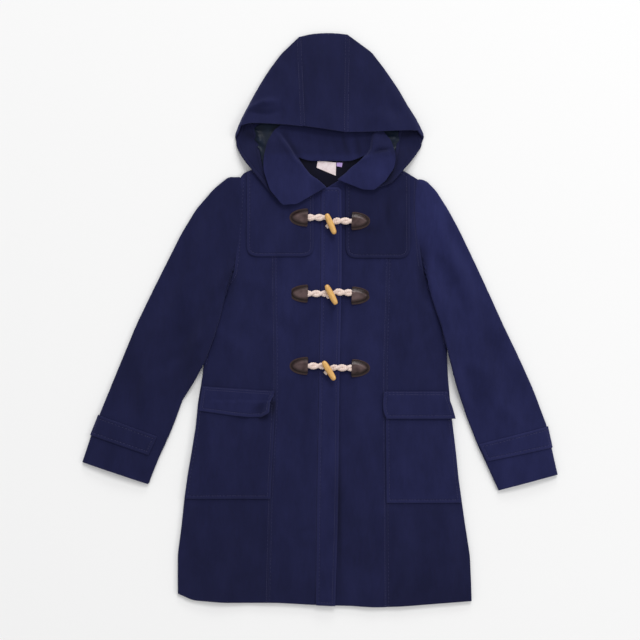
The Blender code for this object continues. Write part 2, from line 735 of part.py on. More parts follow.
def hood_inward(side, share):
    """Direction square to the outline, in plan; at the crown seam both panels share one."""
    if share == 0.0:
        return Vector((0.0, -1.0, 0.0))
    step = 0.02
    along = hood_edge(side, min(share + step, 1.0)) - hood_edge(side, max(share - step, 0.0))
    way = Vector((along.y, -along.x, 0.0)).normalized()
    inside = 1.0 if side == "right" else -1.0
    return way if way.x * inside > 0 else -way


def turned(edge, inward, angle, radius):
    """Point of the turn at the hood's outline, over the top at 90 degrees and beneath at -90."""
    point = edge + inward * (WALL / 2 + radius * (1.0 - math.cos(math.radians(angle))))
    point.z = WALL / 2 + radius * (1.0 + math.sin(math.radians(angle)))
    return point


def hood_seam(side, row):
    """Point of a crown seam in a row of the panels: upper layer, turn, lower layer."""
    lip, crown = CROWN_SEAMS[side]
    turn = row - len(HOOD_STEPS)
    if turn < 0:
        y = lerp(lip.y, crown.y - 2.0, HOOD_STEPS[row])
        return Vector((straight((lip, crown), "y", "x", y), y, hood_seam_height(HOOD_STEPS[row])))
    if turn < len(FOLD_TURN):
        edge = Vector((crown.x, crown.y, 0.0))
        return turned(edge, hood_inward(side, 0.0), FOLD_TURN[turn], FOLD_RADIUS)
    under = HOOD_UNDER[side][turn - len(FOLD_TURN)]
    return Vector((under.seam_x, under.seam_y, WALL / 2))


def hood_side_point(side, row, k):
    """Point of a side panel: k counts from the crown seam to the mouth."""
    outside = -1.0 if side == "right" else 1.0
    off_seam = Vector((outside * GAP / 2, 0.0, 0.0))
    share = HOOD_ACROSS[k]
    seam = hood_seam(side, row) + off_seam
    turn = row - len(HOOD_STEPS)
    if k == 0 and row > 0:
        return seam
    if turn < 0:
        step = HOOD_STEPS[row]
        if row == 0:
            seam.y += FIRST_ROW_RISE
            seam.x = straight(CROWN_SEAMS[side], "y", "x", seam.y) + off_seam.x
        corner = getattr(HOOD_OUTLINE[0], side) - outside * 3.0
        mouth_x = lerp(CROWN_SEAMS[side][0].x + off_seam.x, corner, step ** 0.9)
        mouth = Vector((mouth_x, straight(LIP, "x", "y", mouth_x), 0.0))
        chord = hood_edge(side, 0.0).lerp(hood_edge(side, 1.0), share)
        point = seam.lerp(mouth, share) + (hood_edge(side, share) - chord) * step ** 2
        at_mouth = hood_seam_height(0.0) - 3.4 * smoothstep(0.6, 1.0, step)
        point.z = lerp(hood_seam_height(step), at_mouth, share ** 2)
        return point
    if turn < len(FOLD_TURN):
        radius = FOLD_RADIUS * (1.0 + smoothstep(0.6, 1.0, share))
        return turned(hood_edge(side, share), hood_inward(side, share), FOLD_TURN[turn], radius)
    under = HOOD_UNDER[side][turn - len(FOLD_TURN)]
    facing = Vector((under.facing_x, under.facing_y, 0.0))
    mouth = Vector((under.mouth_x, under.mouth_y, 0.0))
    if k <= FACING_FROM:
        chord = facing - seam
        away = Vector((abs(chord.y) * outside, abs(chord.x), 0.0)).normalized()
        t = k / FACING_FROM
        point = seam.lerp(facing, t) + away * (under.bulge * 4 * t * (1 - t))
    else:
        point = facing.lerp(mouth, (k - FACING_FROM) / (len(HOOD_ACROSS) - 1 - FACING_FROM))
    point.z = hood_floor(point.x, point.y) + WALL / 2
    return point


def hood_centre_point(row, share):
    """Point of the centre panel between the two crown seams."""
    right = hood_seam("right", row) + Vector((GAP / 2, 0.0, 0.0))
    left = hood_seam("left", row) - Vector((GAP / 2, 0.0, 0.0))
    point = right.lerp(left, share)
    step = HOOD_STEPS[row] if row < len(HOOD_STEPS) else 1.0
    if row < len(HOOD_STEPS) + len(FOLD_TURN):
        level = lerp(CROWN_SEAMS["right"][1].y, CROWN_SEAMS["left"][1].y, share)
        point.y += (column(CROWN, "x", "y", point.x) - level) * step
        point.z += 1.2 * math.sin(math.pi * share) * (1 - step)
    return point


def flat_at_seam(ways, columns):
    """Turns the normals of the given columns into the plane of the seam."""
    for row in ways:
        for k in columns:
            row[k] = Vector((0.0, row[k].y, row[k].z)).normalized()
    return ways


def build_hood(navy, satin):
    """Three panels, each folded over at the hood's outline, with the facing and lining at the mouth."""
    rows = len(HOOD_STEPS) + len(FOLD_TURN) + len(HOOD_UNDER["right"])
    lower = len(HOOD_STEPS) + len(FOLD_TURN)
    made, inside = [], {}
    for side in ("right", "left"):
        tag = side[0]
        grid = [[hood_side_point(side, row, k) for k in range(len(HOOD_ACROSS))] for row in range(rows)]
        ways = flat_at_seam(facing_up(normals(grid), rows - 3, 2), (0,))
        ways[0] = [ways[1][0].copy() for _ in ways[0]]
        made.append(cloth_slab("hood_side_" + tag, grid, ways, -WALL / 2, WALL / 2,
                               navy("hood side " + tag)))
        near = WALL / 2 + GAP
        strip = [row[FACING_FROM:] for row in grid[lower:]]
        strip_ways = [row[FACING_FROM:] for row in ways[lower:]]
        made.append(cloth_slab("hood_facing_" + tag, strip, strip_ways, near, near + PATCH,
                               navy("hood facing " + tag)))
        inside[side] = [row[:FACING_FROM + 1] for row in grid[lower:]]
    shares = (0.0, 0.25, 0.5, 0.75, 1.0)
    centre = [[hood_centre_point(row, share) for share in shares] for row in range(rows)]
    ways = flat_at_seam(facing_up(normals(centre), rows - 3, 2), (0, -1))
    made.append(cloth_slab("hood_centre", centre, ways, -WALL / 2, WALL / 2, navy("hood centre")))
    lining = []
    for right, middle, left in zip(inside["right"], centre[lower:], inside["left"]):
        lining.append(right[::-1] + middle[1:-1] + left)
    lining = lining[LINING_FIRST_ROW:]
    for row in lining:
        for end, inward in ((0, 1.0), (-1, -1.0)):
            row[end] = row[end] + Vector((inward * 2 * GAP, 0.0, 0.0))
    near = WALL / 2 + GAP + 0.1
    made.append(slab("hood_lining", lifted(lining, near), lifted(lining, near + LINING),
                     satin("hood lining")))
    return made


# ---------------------------------------------------------------------------------------------- collar

def collar_row(roll, under):
    """Neck seam, up the stand, round the roll line and down the leaf to its outer edge."""
    neck = Vector((roll.neck_x, roll.neck_y, 0.0))
    top = Vector((roll.roll_x, roll.roll_y, 0.0))
    edge = Vector((roll.edge_x, roll.edge_y, 0.0))
    falling = (edge - top).normalized() * ROLL_RADIUS

    def over(place, reach=8.0):
        return height_over(under, place.x, place.y, reach) + 2 * GAP + COLLAR / 2

    z_neck = max(roll.z_neck, over(neck, 5.0))
    z_roll = max(roll.z_roll, over(top) + ROLL_RADIUS * roll.fold)
    row = [(neck, z_neck), (neck.lerp(top, 0.5), lerp(z_neck, z_roll - ROLL_RADIUS * roll.fold, 0.5)),
           (neck.lerp(top, 0.9), z_roll - ROLL_RADIUS * roll.fold),
           (top + falling * 0.3, z_roll - 0.3 * ROLL_RADIUS * roll.fold), (top + falling, z_roll)]
    for share in (0.34, 0.68, 1.0):
        place = (top + falling).lerp(edge, share)
        row.append((place, max(lerp(z_roll, roll.z_edge, share), over(place))))
    if roll.fold < 1.0:
        row = row[:1] + [(place, max(z, over(place) + 2 * GAP)) for place, z in row[1:]]
    return [Vector((place.x, place.y, z)) for place, z in row]


def build_collar(navy, below):
    under = surface_of(*below)
    grid = [collar_row(roll, under) for roll in COLLAR_ROLLS]
    ways = normals(grid)
    cloth_slab("collar", grid, ways, -COLLAR / 2, COLLAR / 2, navy("collar"))


def build_neck(satin, white, lilac):
    """The lining inside the neck, with a label and a size tab, both bare."""
    low = WALL + GAP
    shares = (0.0, 0.25, 0.5, 0.75, 1.0)
    grid = [[Vector((lerp(row.left_x, row.right_x, share), row.y, low)) for share in shares]
            for row in NECK_LINING]
    slab("neck_lining", grid, lifted(grid, LINING), satin("neck lining"))
    low += LINING + GAP
    for name, corners, look in (("label", LABEL, white), ("size_tab", SIZE_TAB, lilac)):
        quad = [[Vector((corner.x, corner.y, low)) for corner in pair] for pair in corners]
        slab(name, quad, lifted(quad, TAPE), look(name.replace("_", " ")))


# --------------------------------------------------------------------------------------------- closure

def build_patch(name, edge_x, centre_y, outward, under, leather):
    """A leather patch: straight edge towards the closure, round nose away from it, domed over its cord."""
    low, high = [], []
    for along in (0.0, 0.12, 0.4, 0.7, 0.9, 1.0):
        half = PATCH_HALF_WIDTH * (1.0 - along ** 2.4) ** 0.62 if along < 1.0 else 2.5
        row = []
        for across in (-1.0, -0.82, -0.42, 0.0, 0.42, 0.82, 1.0):
            x, y = edge_x + outward * PATCH_LENGTH * along, centre_y + across * half
            row.append(Vector((x, y, height_over(under, x, y, 3.0) + GAP)))
        low.append(row)
        rises = [LEATHER_RIM + (LEATHER_CROWN - LEATHER_RIM) * (1.0 - across ** 4) * (1.0 - along ** 3)
                 for across in (-1.0, -0.82, -0.42, 0.0, 0.42, 0.82, 1.0)]
        high.append([p + Vector((0.0, 0.0, rise)) for p, rise in zip(row, rises)])
    return slab(name, low, high, leather)


def build_rod(name, rings, material):
    """A closed body through rings of as many points, capped at both ends."""
    sides = len(rings[0])
    vertices = [p for row in rings for p in row]
    faces = []
    for i in range(len(rings) - 1):
        for j in range(sides):
            k = (j + 1) % sides
            faces.append((i * sides + j, i * sides + k, (i + 1) * sides + k, (i + 1) * sides + j))
    faces.append(tuple(range(sides))[::-1])
    faces.append(tuple((len(rings) - 1) * sides + j for j in range(sides)))
    return mesh_object(name, vertices, faces, material)


def cord_rings(path, under):
    """Rings of eight points along (x, y, width, height) places, resting on what lies beneath."""
    rings = []
    floors = [height_over(under, x, y, CORD_WIDTH / 2) + GAP for x, y, _, _ in path]
    for _ in range(3):
        for i in range(1, len(path) - 1):
            floors[i] = max(floors[i], (floors[i - 1] + floors[i + 1]) / 2)
    for i, (x, y, width, height) in enumerate(path):
        before, after = path[max(i - 1, 0)], path[min(i + 1, len(path) - 1)]
        across = Vector((before[1] - after[1], after[0] - before[0], 0.0)).normalized()
        z = floors[i] + height / 2
        ring = []
        for k in range(8):
            angle = math.radians(22.5 + 45 * k)
            out = math.copysign(abs(math.cos(angle)) ** 0.8, math.cos(angle)) * width / 2
            up = math.copysign(abs(math.sin(angle)) ** 0.8, math.sin(angle)) * height / 2
            ring.append(Vector((x, y, z + up)) + across * out)
        rings.append(ring)
    return rings


def build_toggle(name, x, y, z, turn, wood):
    """A tapered wooden toggle, turned about its own length."""
    way = Vector((math.cos(math.radians(turn)), math.sin(math.radians(turn)), 0.0))
    across = Vector((-way.y, way.x, 0.0))
    up = Vector((0.0, 0.0, 1.0))
    rings = []
    for point in TOGGLE_PROFILE:
        centre = Vector((x, y, z)) + way * point.along
        angles = [2 * math.pi * k / TOGGLE_SIDES for k in range(TOGGLE_SIDES)]
        rings.append([centre + (across * math.cos(a) + up * math.sin(a)) * point.radius for a in angles])
    return build_rod(name, rings, wood)


def build_closures(below, leather, braid, wood):
    """Three rows: a loop cord from the right, a toggle cord from the left, and the toggle in the loop."""
    under = surface_of(*below)
    steps = 8
    for number, (row, turn) in enumerate(zip(CLOSURES, TOGGLE_TURNS), start=1):
        for tag, edge, centre_y, outward in (("r", PATCH_EDGE_R, row.cord_r_y, -1.0),
                                             ("l", PATCH_EDGE_L, row.cord_l_y, 1.0)):
            build_patch(f"patch_{tag}_{number}", edge, centre_y, outward, under,
                        leather(f"patch {tag} {number}"))
        right, left = [], []
        for k in range(steps + 1):
            share = k / steps
            width = CORD_WIDTH * (0.92 + 0.1 * math.cos(math.pi * BUMPS * share))
            x = lerp(PATCH_EDGE_R + GAP, row.toggle_x - 10.0, share)
            right.append((x, row.cord_r_y, width, CORD_HEIGHT))
            height = lerp(CORD_HEIGHT, CORD_UNDER_TOGGLE, smoothstep(0.5, 1.0, share))
            y = lerp(row.cord_l_y, row.toggle_y + 5.0, smoothstep(0.3, 1.0, share))
            left.append((lerp(PATCH_EDGE_L - GAP, row.toggle_x + 9.5, share), y, width, height))
        left.append((row.toggle_x, row.toggle_y + 0.5, CORD_WIDTH * 0.8, CORD_UNDER_TOGGLE))
        left.append((row.toggle_x - 6.5, row.toggle_y - 5.0, CORD_WIDTH * 0.62, CORD_UNDER_TOGGLE))
        build_rod(f"cord_r_{number}", cord_rings(right, under), braid(f"cord r {number}"))
        build_rod(f"cord_l_{number}", cord_rings(left, under), braid(f"cord l {number}"))
        base = height_over(under, row.toggle_x, row.toggle_y, CORD_WIDTH / 2)
        z = base + GAP + CORD_UNDER_TOGGLE + GAP + TOGGLE_RADIUS
        build_toggle(f"toggle_{number}", row.toggle_x, row.toggle_y, z, turn, wood(f"toggle {number}"))


def main():
    for thing in list(bpy.data.objects):
        bpy.data.objects.remove(thing, do_unlink=True)

    def looks(look):
        return lambda name: finish(name, look)

    navy, satin = looks(NAVY), looks(SATIN)
    build_back(navy)
    below = build_fronts(navy)
    below.append(build_placket(navy))
    build_flaps(navy, below)
    build_sleeves(navy)
    hood = build_hood(navy, satin)
    build_neck(satin, looks(WHITE_TAPE), looks(LILAC_TAPE))
    inside = [thing for thing in hood if "lining" in thing.name or "facing" in thing.name]
    build_collar(navy, below + inside)
    build_closures(below, looks(LEATHER), looks(BRAID), looks(WOOD))


main()
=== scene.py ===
import math

import bmesh
import bpy
import numpy as np
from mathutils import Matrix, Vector, noise
from mathutils.bvhtree import BVHTree
from mathutils.geometry import delaunay_2d_cdt
from mathutils.kdtree import KDTree


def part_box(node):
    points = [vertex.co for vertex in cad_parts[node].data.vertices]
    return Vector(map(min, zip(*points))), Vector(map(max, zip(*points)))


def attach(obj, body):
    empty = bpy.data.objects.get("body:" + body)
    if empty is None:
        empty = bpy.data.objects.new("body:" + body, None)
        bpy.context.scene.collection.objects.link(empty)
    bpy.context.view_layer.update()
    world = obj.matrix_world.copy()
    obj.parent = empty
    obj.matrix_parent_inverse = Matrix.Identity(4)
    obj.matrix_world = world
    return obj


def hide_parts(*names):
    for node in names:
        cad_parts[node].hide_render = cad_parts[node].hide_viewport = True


mm = 0.001

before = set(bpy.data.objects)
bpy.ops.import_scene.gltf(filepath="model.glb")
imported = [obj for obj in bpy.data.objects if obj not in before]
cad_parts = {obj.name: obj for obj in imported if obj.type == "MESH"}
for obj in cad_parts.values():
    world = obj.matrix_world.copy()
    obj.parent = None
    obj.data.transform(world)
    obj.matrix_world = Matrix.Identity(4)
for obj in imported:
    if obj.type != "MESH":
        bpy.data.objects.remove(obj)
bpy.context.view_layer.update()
bpy.ops.object.select_all(action="DESELECT")
print("coat frame loaded:", len(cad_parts), "pieces")


# Camera, floor and light

view = {
    "height": 2.5,
    "width": 1.12,  # what the picture takes in, at the floor
    "sensor": 36.0,
}
studio = {
    "floorSize": 9.0,
    "floorColour": (0.925, 0.925, 0.925),
    "skyStrength": 0.62,
    "lamps": {  # place, power and size
        "main light": ((2.0, 9.6, 8.4), 590.0, 4.4),  # from the hood's end
        "fill light": ((4.4, 0.4, 3.4), 50.0, 2.0),
        "low light": ((0.8, 7.4, 2.5), 130.0, 1.8),
    },
}


def addCamera():
    bpy.ops.object.camera_add(location=(0.0, 0.0, view["height"]), rotation=(0.0, 0.0, 0.0))
    camera = bpy.context.object
    camera.name = "camera"
    camera.data.sensor_width = view["sensor"]
    camera.data.lens = view["sensor"] * view["height"] / view["width"]
    camera.data.clip_end = 50.0
    bpy.context.scene.camera = camera


def addLamp(name, place, power, size):
    bpy.ops.object.light_add(type="AREA", location=place)
    lamp = bpy.context.object
    lamp.name = name
    lamp.data.shape = "DISK"
    lamp.data.size = size
    lamp.data.energy = power
    lamp.rotation_euler = (-lamp.location).to_track_quat("-Z", "Y").to_euler()


class Wire:  # a socket that can be used in sums
    def __init__(self, finish, socket):
        self.finish = finish
        self.socket = socket

    def maths(self, operation, *values):
        return self.finish.node("ShaderNodeMath", {"operation": operation}, dict(enumerate(values)))

    def __add__(self, other):
        return self.maths("ADD", self, other)

    def __radd__(self, other):
        return self.maths("ADD", other, self)

    def __sub__(self, other):
        return self.maths("SUBTRACT", self, other)

    def __rsub__(self, other):
        return self.maths("SUBTRACT", other, self)

    def __mul__(self, other):
        return self.maths("MULTIPLY", self, other)

    def __rmul__(self, other):
        return self.maths("MULTIPLY", other, self)

    def __truediv__(self, other):
        return self.maths("DIVIDE", self, other)

    def hump(self, centre, width):
        away = (self - centre) / width
        return self.maths("EXPONENT", (away * away) * -1.0)

    def clamped(self, low=0.0, high=1.0):
        return self.finish.node("ShaderNodeClamp", {}, {"Value": self, "Min": low, "Max": high})


class Finish:  # one material, built node by node
    def __init__(self, name):
        self.material = bpy.data.materials.new(name)
        self.material.use_nodes = True
        self.tree = self.material.node_tree
        self.shader = self.tree.nodes["Principled BSDF"]

    def node(self, kind, settings=None, values=None, output=0):
        made = self.tree.nodes.new(kind)
        for key, value in (settings or {}).items():
            setattr(made, key, value)
        for key, value in (values or {}).items():
            self.join(value, made.inputs[key])
        return Wire(self, made.outputs[output])

    def join(self, value, socket):
        if isinstance(value, Wire):
            self.tree.links.new(value.socket, socket)
        elif isinstance(value, tuple) and len(value) == 3 and len(getattr(socket, "default_value", ())) == 4:
            socket.default_value = (*value, 1.0)
        else:
            socket.default_value = value

    def place(self, stretch=(1.0, 1.0, 1.0), turn=0.0):
        where = self.node("ShaderNodeTexCoord", output=3)
        return self.node("ShaderNodeMapping", {}, {"Vector": where, "Scale": stretch,
                                                   "Rotation": (0.0, 0.0, turn)})

    def grain(self, where, scale, detail=2.0, roughness=0.5):  # swings to both sides of 0
        return self.node("ShaderNodeTexNoise", {}, {"Vector": where, "Scale": scale, "Detail": detail,
                                                    "Roughness": roughness}) - 0.5

    def attribute(self, name):
        return self.node("ShaderNodeAttribute", {"attribute_name": name}, output=2)

    def mixed(self, share, first, second):
        return self.node("ShaderNodeMix", {"data_type": "RGBA"}, {0: share, 6: first, 7: second}, output=2)

    def scaled(self, colour, share):
        return self.node("ShaderNodeVectorMath", {"operation": "SCALE"}, {0: colour, 3: share})

    def bumped(self, height):
        return self.node("ShaderNodeBump", {}, {"Height": height, "Distance": 1.0, "Strength": 1.0})

    def use(self, **values):
        for key, value in values.items():
            self.join(value, self.shader.inputs[key.replace("_", " ")])
        return self.material


def addStudio():
    addCamera()
    bpy.ops.mesh.primitive_plane_add(size=studio["floorSize"], location=(0.0, 0.0, -0.0004))
    floor = bpy.context.object
    floor.name = "floor"
    bpy.ops.object.transform_apply(location=True, rotation=True, scale=True)
    paper = Finish("pale floor")
    finish = paper.use(Base_Color=studio["floorColour"], Roughness=0.9, Specular_IOR_Level=0.1)
    floor.data.materials.append(finish)
    for name, (place, power, size) in studio["lamps"].items():
        addLamp(name, place, power, size)
    world = bpy.context.scene.world or bpy.data.worlds.new("studio")
    bpy.context.scene.world = world
    world.use_nodes = True
    sky = world.node_tree.nodes["Background"].inputs
    sky["Color"].default_value = (1.0, 1.0, 1.0, 1.0)
    sky["Strength"].default_value = studio["skyStrength"]
    bpy.context.scene.view_settings.view_transform = "Standard"


addStudio()
print("studio ready")


# Finishes

wool = {
    "deep": (0.0070, 0.0082, 0.0370),
    "plain": (0.0125, 0.0142, 0.0580),
    # lighter fibres of the nap; the same colour paints the highlight on the swelling by the stitching and
    # along the edges
    "paleNapAndHighlight": (0.0250, 0.0262, 0.0860),
    "patchScale": 16.0,
    "brushedScale": 34.0,
    "fibreScale": 260.0,
    "napScale": 900.0,
    "napDepth": 0.00008,
    "puff": 0.00022,  # how far the cloth swells between its edge and the stitching
    "groove": 0.00042,
    "grooveWidth": 0.0012,
    "shader": {"Sheen_Weight": 0.16, "Sheen_Roughness": 0.55, "Sheen_Tint": (0.42, 0.44, 0.85),
               "Specular_IOR_Level": 0.10},
}


def woolFinish(name, inset):
    cloth = Finish(name)
    flat = cloth.place()
    drawn = cloth.place((1.0, 0.22, 1.0), 0.09)  # the nap lies along the coat
    patches = cloth.grain(flat, wool["patchScale"], 3.0, 0.55)
    fibres = cloth.grain(drawn, wool["fibreScale"], 3.0, 0.6)
    nap = cloth.grain(flat, wool["napScale"], 2.0, 0.7)
    rim = cloth.attribute("fromStitched")
    edge = cloth.attribute("fromEdge")
    groove = rim.hump(inset, wool["grooveWidth"])
    puff = rim.hump(inset * 0.45, inset * 0.42)
    # painted highlight along the cloth's edges, where a turned edge catches the light
    wearAndHighlight = edge.hump(0.0, 0.0012)
    # where the nap is brushed up
    brushed = cloth.grain(cloth.place((1.0, 0.35, 1.0), 0.05), wool["brushedScale"], 4.0, 0.62)
    light = patches * 0.9 + brushed * 1.5 + fibres * 0.8 + nap * 0.55 + 0.42
    colour = cloth.mixed(light, wool["deep"], wool["plain"])
    # lighter where the cloth swells by the stitching and at its edges: painted highlight; the nap's lighter
    # fibres are its own
    colour = cloth.mixed(puff * 0.14 + wearAndHighlight * 0.22 + (nap - 0.12).clamped() * 1.1, colour, wool["paleNapAndHighlight"])
    # painted shade in the stitched groove
    colour = cloth.mixed(groove * 0.30, colour, wool["deep"])
    # the tone paints light and shade over each piece, besides the cloth's own tone
    colour = cloth.scaled(colour, cloth.attribute("tone"))
    height = puff * wool["puff"] - groove * wool["groove"] + (fibres * 1.6 + nap) * wool["napDepth"]
    return cloth.use(Base_Color=colour, Roughness=(0.86 + fibres * 0.2).clamped(),
                     Normal=cloth.bumped(height), **wool["shader"])


satin = {
    "teal": ((0.0018, 0.0040, 0.0100), (0.0075, 0.0150, 0.0340)),
    "navy": ((0.0016, 0.0016, 0.0070), (0.0040, 0.0042, 0.0170)),
    "weaveScale": 1400.0,
    "patchScale": 40.0,
}


def satinFinish(name, deep, plain, gloss):
    cloth = Finish(name)
    weave = cloth.grain(cloth.place((1.0, 0.12, 1.0)), satin["weaveScale"], 1.0)
    patches = cloth.grain(cloth.place(), satin["patchScale"], 2.0)
    return cloth.use(Base_Color=cloth.mixed(patches * 1.2 + 0.5, deep, plain),
                     Roughness=(0.42 + weave * 0.25).clamped(0.1, 0.7), Normal=cloth.bumped(weave * 0.00003),
                     Specular_IOR_Level=gloss, Anisotropic=0.3)


leather = {
    "deep": (0.0090, 0.0030, 0.0028),
    "plain": (0.0240, 0.0088, 0.0080),
    "wearAndHighlight": (0.1150, 0.0640, 0.0540),
    "domeSheen": (0.1080, 0.0680, 0.0680),  # painted sheen on the raised middle
    "pebbleScale": 700.0,
    "wrinkleScale": 300.0,
    "patchScale": 60.0,
}


def leatherFinish(name):
    hide = Finish(name)
    flat = hide.place()
    pebbles = hide.node("ShaderNodeTexVoronoi", {"feature": "F1"},
                        {"Vector": flat, "Scale": leather["pebbleScale"]})
    wrinkles = hide.grain(flat, leather["wrinkleScale"], 4.0, 0.6)
    patches = hide.grain(flat, leather["patchScale"], 2.0)
    edge = hide.attribute("fromEdge")
    rimFold = edge.hump(0.0034, 0.0010)
    # painted sheen on the raised middle, blotched
    middle = ((edge - 0.0048) * 260.0).clamped() * (patches * 2.4 + 0.60).clamped(0.10, 1.0)
    wearAndHighlight = edge.hump(0.0, 0.0009) * 0.45 + (wrinkles - 0.1).clamped() * 1.6
    colour = hide.mixed(patches * 1.3 + wrinkles * 0.8 + 0.5, leather["deep"], leather["plain"])
    colour = hide.mixed(middle, colour, leather["domeSheen"])
    colour = hide.mixed(wearAndHighlight, colour, leather["wearAndHighlight"])
    # painted shade in the fold along the rim
    colour = hide.mixed(rimFold * 0.7, colour, leather["deep"])
    height = pebbles * -0.00007 + wrinkles * 0.00009 - rimFold * 0.00035
    return hide.use(Base_Color=colour, Roughness=(0.34 + wrinkles * 0.24).clamped(0.26, 0.8),
                    Normal=hide.bumped(height), Specular_IOR_Level=0.30)


cottonCord = {
    "deep": (0.60, 0.42, 0.36),
    "plain": (0.90, 0.76, 0.69),
    "bright": (0.98, 0.92, 0.88),
    "hairScale": 1500.0,
    "patchScale": 220.0,
}


def cordFinish(name):
    cotton = Finish(name)
    flat = cotton.place()
    hairs = cotton.grain(flat, cottonCord["hairScale"], 2.0, 0.7)
    patches = cotton.grain(flat, cottonCord["patchScale"], 2.0)
    colour = cotton.mixed(hairs * 1.1 + patches * 1.2 + 0.62, cottonCord["deep"], cottonCord["plain"])
    colour = cotton.mixed((hairs - 0.08).clamped() * 2.4, colour, cottonCord["bright"])
    return cotton.use(Base_Color=colour, Roughness=0.85, Normal=cotton.bumped(hairs * 0.00010),
                      Sheen_Weight=0.2, Specular_IOR_Level=0.25)


timber = {
    "deep": (0.46, 0.205, 0.040),
    "plain": (0.76, 0.43, 0.115),
    "pale": (0.88, 0.58, 0.22),
    "ringScale": 420.0,
    "fineScale": 1600.0,
    "drawn": (0.12, 1.0, 1.0),  # the grain runs along the toggle
}


def timberFinish(name, turn):
    wood = Finish(name)
    where = wood.place(turn=-turn)
    along = wood.node("ShaderNodeMapping", {}, {"Vector": where, "Scale": timber["drawn"]})
    rings = wood.grain(along, timber["ringScale"], 3.0, 0.6)
    fine = wood.grain(along, timber["fineScale"], 2.0, 0.6)
    colour = wood.mixed(rings * 2.0 + 0.58, timber["deep"], timber["plain"])
    colour = wood.mixed((fine + 0.08).clamped() * 1.7, colour, timber["pale"])
    return wood.use(Base_Color=colour, Roughness=(0.42 + fine * 0.3).clamped(0.2, 0.7),
                    Normal=wood.bumped(rings * 0.00006 + fine * 0.00003), Coat_Weight=0.35,
                    Coat_Roughness=0.18)


def tapeFinish(name, deep, plain):
    tape = Finish(name)
    weft = tape.node("ShaderNodeTexWave", {"wave_type": "BANDS", "bands_direction": "Y"},
                     {"Vector": tape.place(), "Scale": 520.0, "Distortion": 1.0, "Detail": 1.0}, output=1)
    patches = tape.grain(tape.place(), 120.0, 2.0)
    return tape.use(Base_Color=tape.mixed((weft - 0.5) * 0.5 + patches * 1.2 + 0.6, deep, plain),
                    Roughness=0.55, Normal=tape.bumped((weft - 0.5) * 0.00004))


threads = {
    "navy thread": ((0.020, 0.020, 0.066), (0.052, 0.050, 0.150)),
    "brown thread": ((0.020, 0.011, 0.009), (0.060, 0.036, 0.030)),
    "twistScale": 2500.0,
}


def threadFinish(name, twisted):
    deep, plain = threads[name]
    thread = Finish(name)
    twist = thread.grain(thread.place(), threads["twistScale"], 1.0)
    relief = {"Normal": thread.bumped(twist * 0.00005)} if twisted else {}
    return thread.use(Base_Color=thread.mixed(twist + 0.5, deep, plain), Roughness=0.5, **relief)


# Cloth

sewing = {
    "inset": 5.5 * mm,  # from an edge to its topstitching
    "beside": 3.2 * mm,  # an edge this near to another piece follows its seam
    "seam": 3.0 * mm,
    "armhole": 5.5 * mm,
    "pitch": 3.5 * mm,
    "length": 2.9 * mm,
    "thickness": 0.46 * mm,
    "depth": 0.10 * mm,  # how far the thread sinks into the cloth
    "rings": ((-0.5, 0.35), (-0.28, 1.0), (0.28, 1.0), (0.5, 0.35)),  # of one stitch: place along it, width
    "sides": 5,
    "plump": 0.62,
}

cutting = {
    "cell": 3.4 * mm,  # size of the faces of a shell
    "longest": 1.4,  # an edge longer than so many cells is cut
    "longestLow": 3.64,  # the same at the foot, where nothing shows
    "foot": 0.6 * mm,
    "shortest": 0.42,
    "fromRim": 0.55,  # no point is set nearer to the rim, in cells
    "fold": 62.0,  # degrees; a face that turns more than this belongs to the rim
    "corner": 32.0,  # degrees; a sharper corner of the outline stays where it is
    "rounds": 40,  # of smoothing
    "settle": 1.1 * mm,  # how far the smoothing may move a point
    "loose": 5.0 * mm,  # the same at a corner that is rounded on purpose
    "rounding": (6.0 * mm, 18.0 * mm),  # how far from such a corner
    "notSharp": 12.0 * mm,
    "edgeRadius": 0.7 * mm,
    "creased": 2.5,  # how strongly the creases show
    "clear": 0.05 * mm,  # nothing goes deeper towards the floor
    "far": 30.0 * mm,  # distances to an edge are measured up to here
}

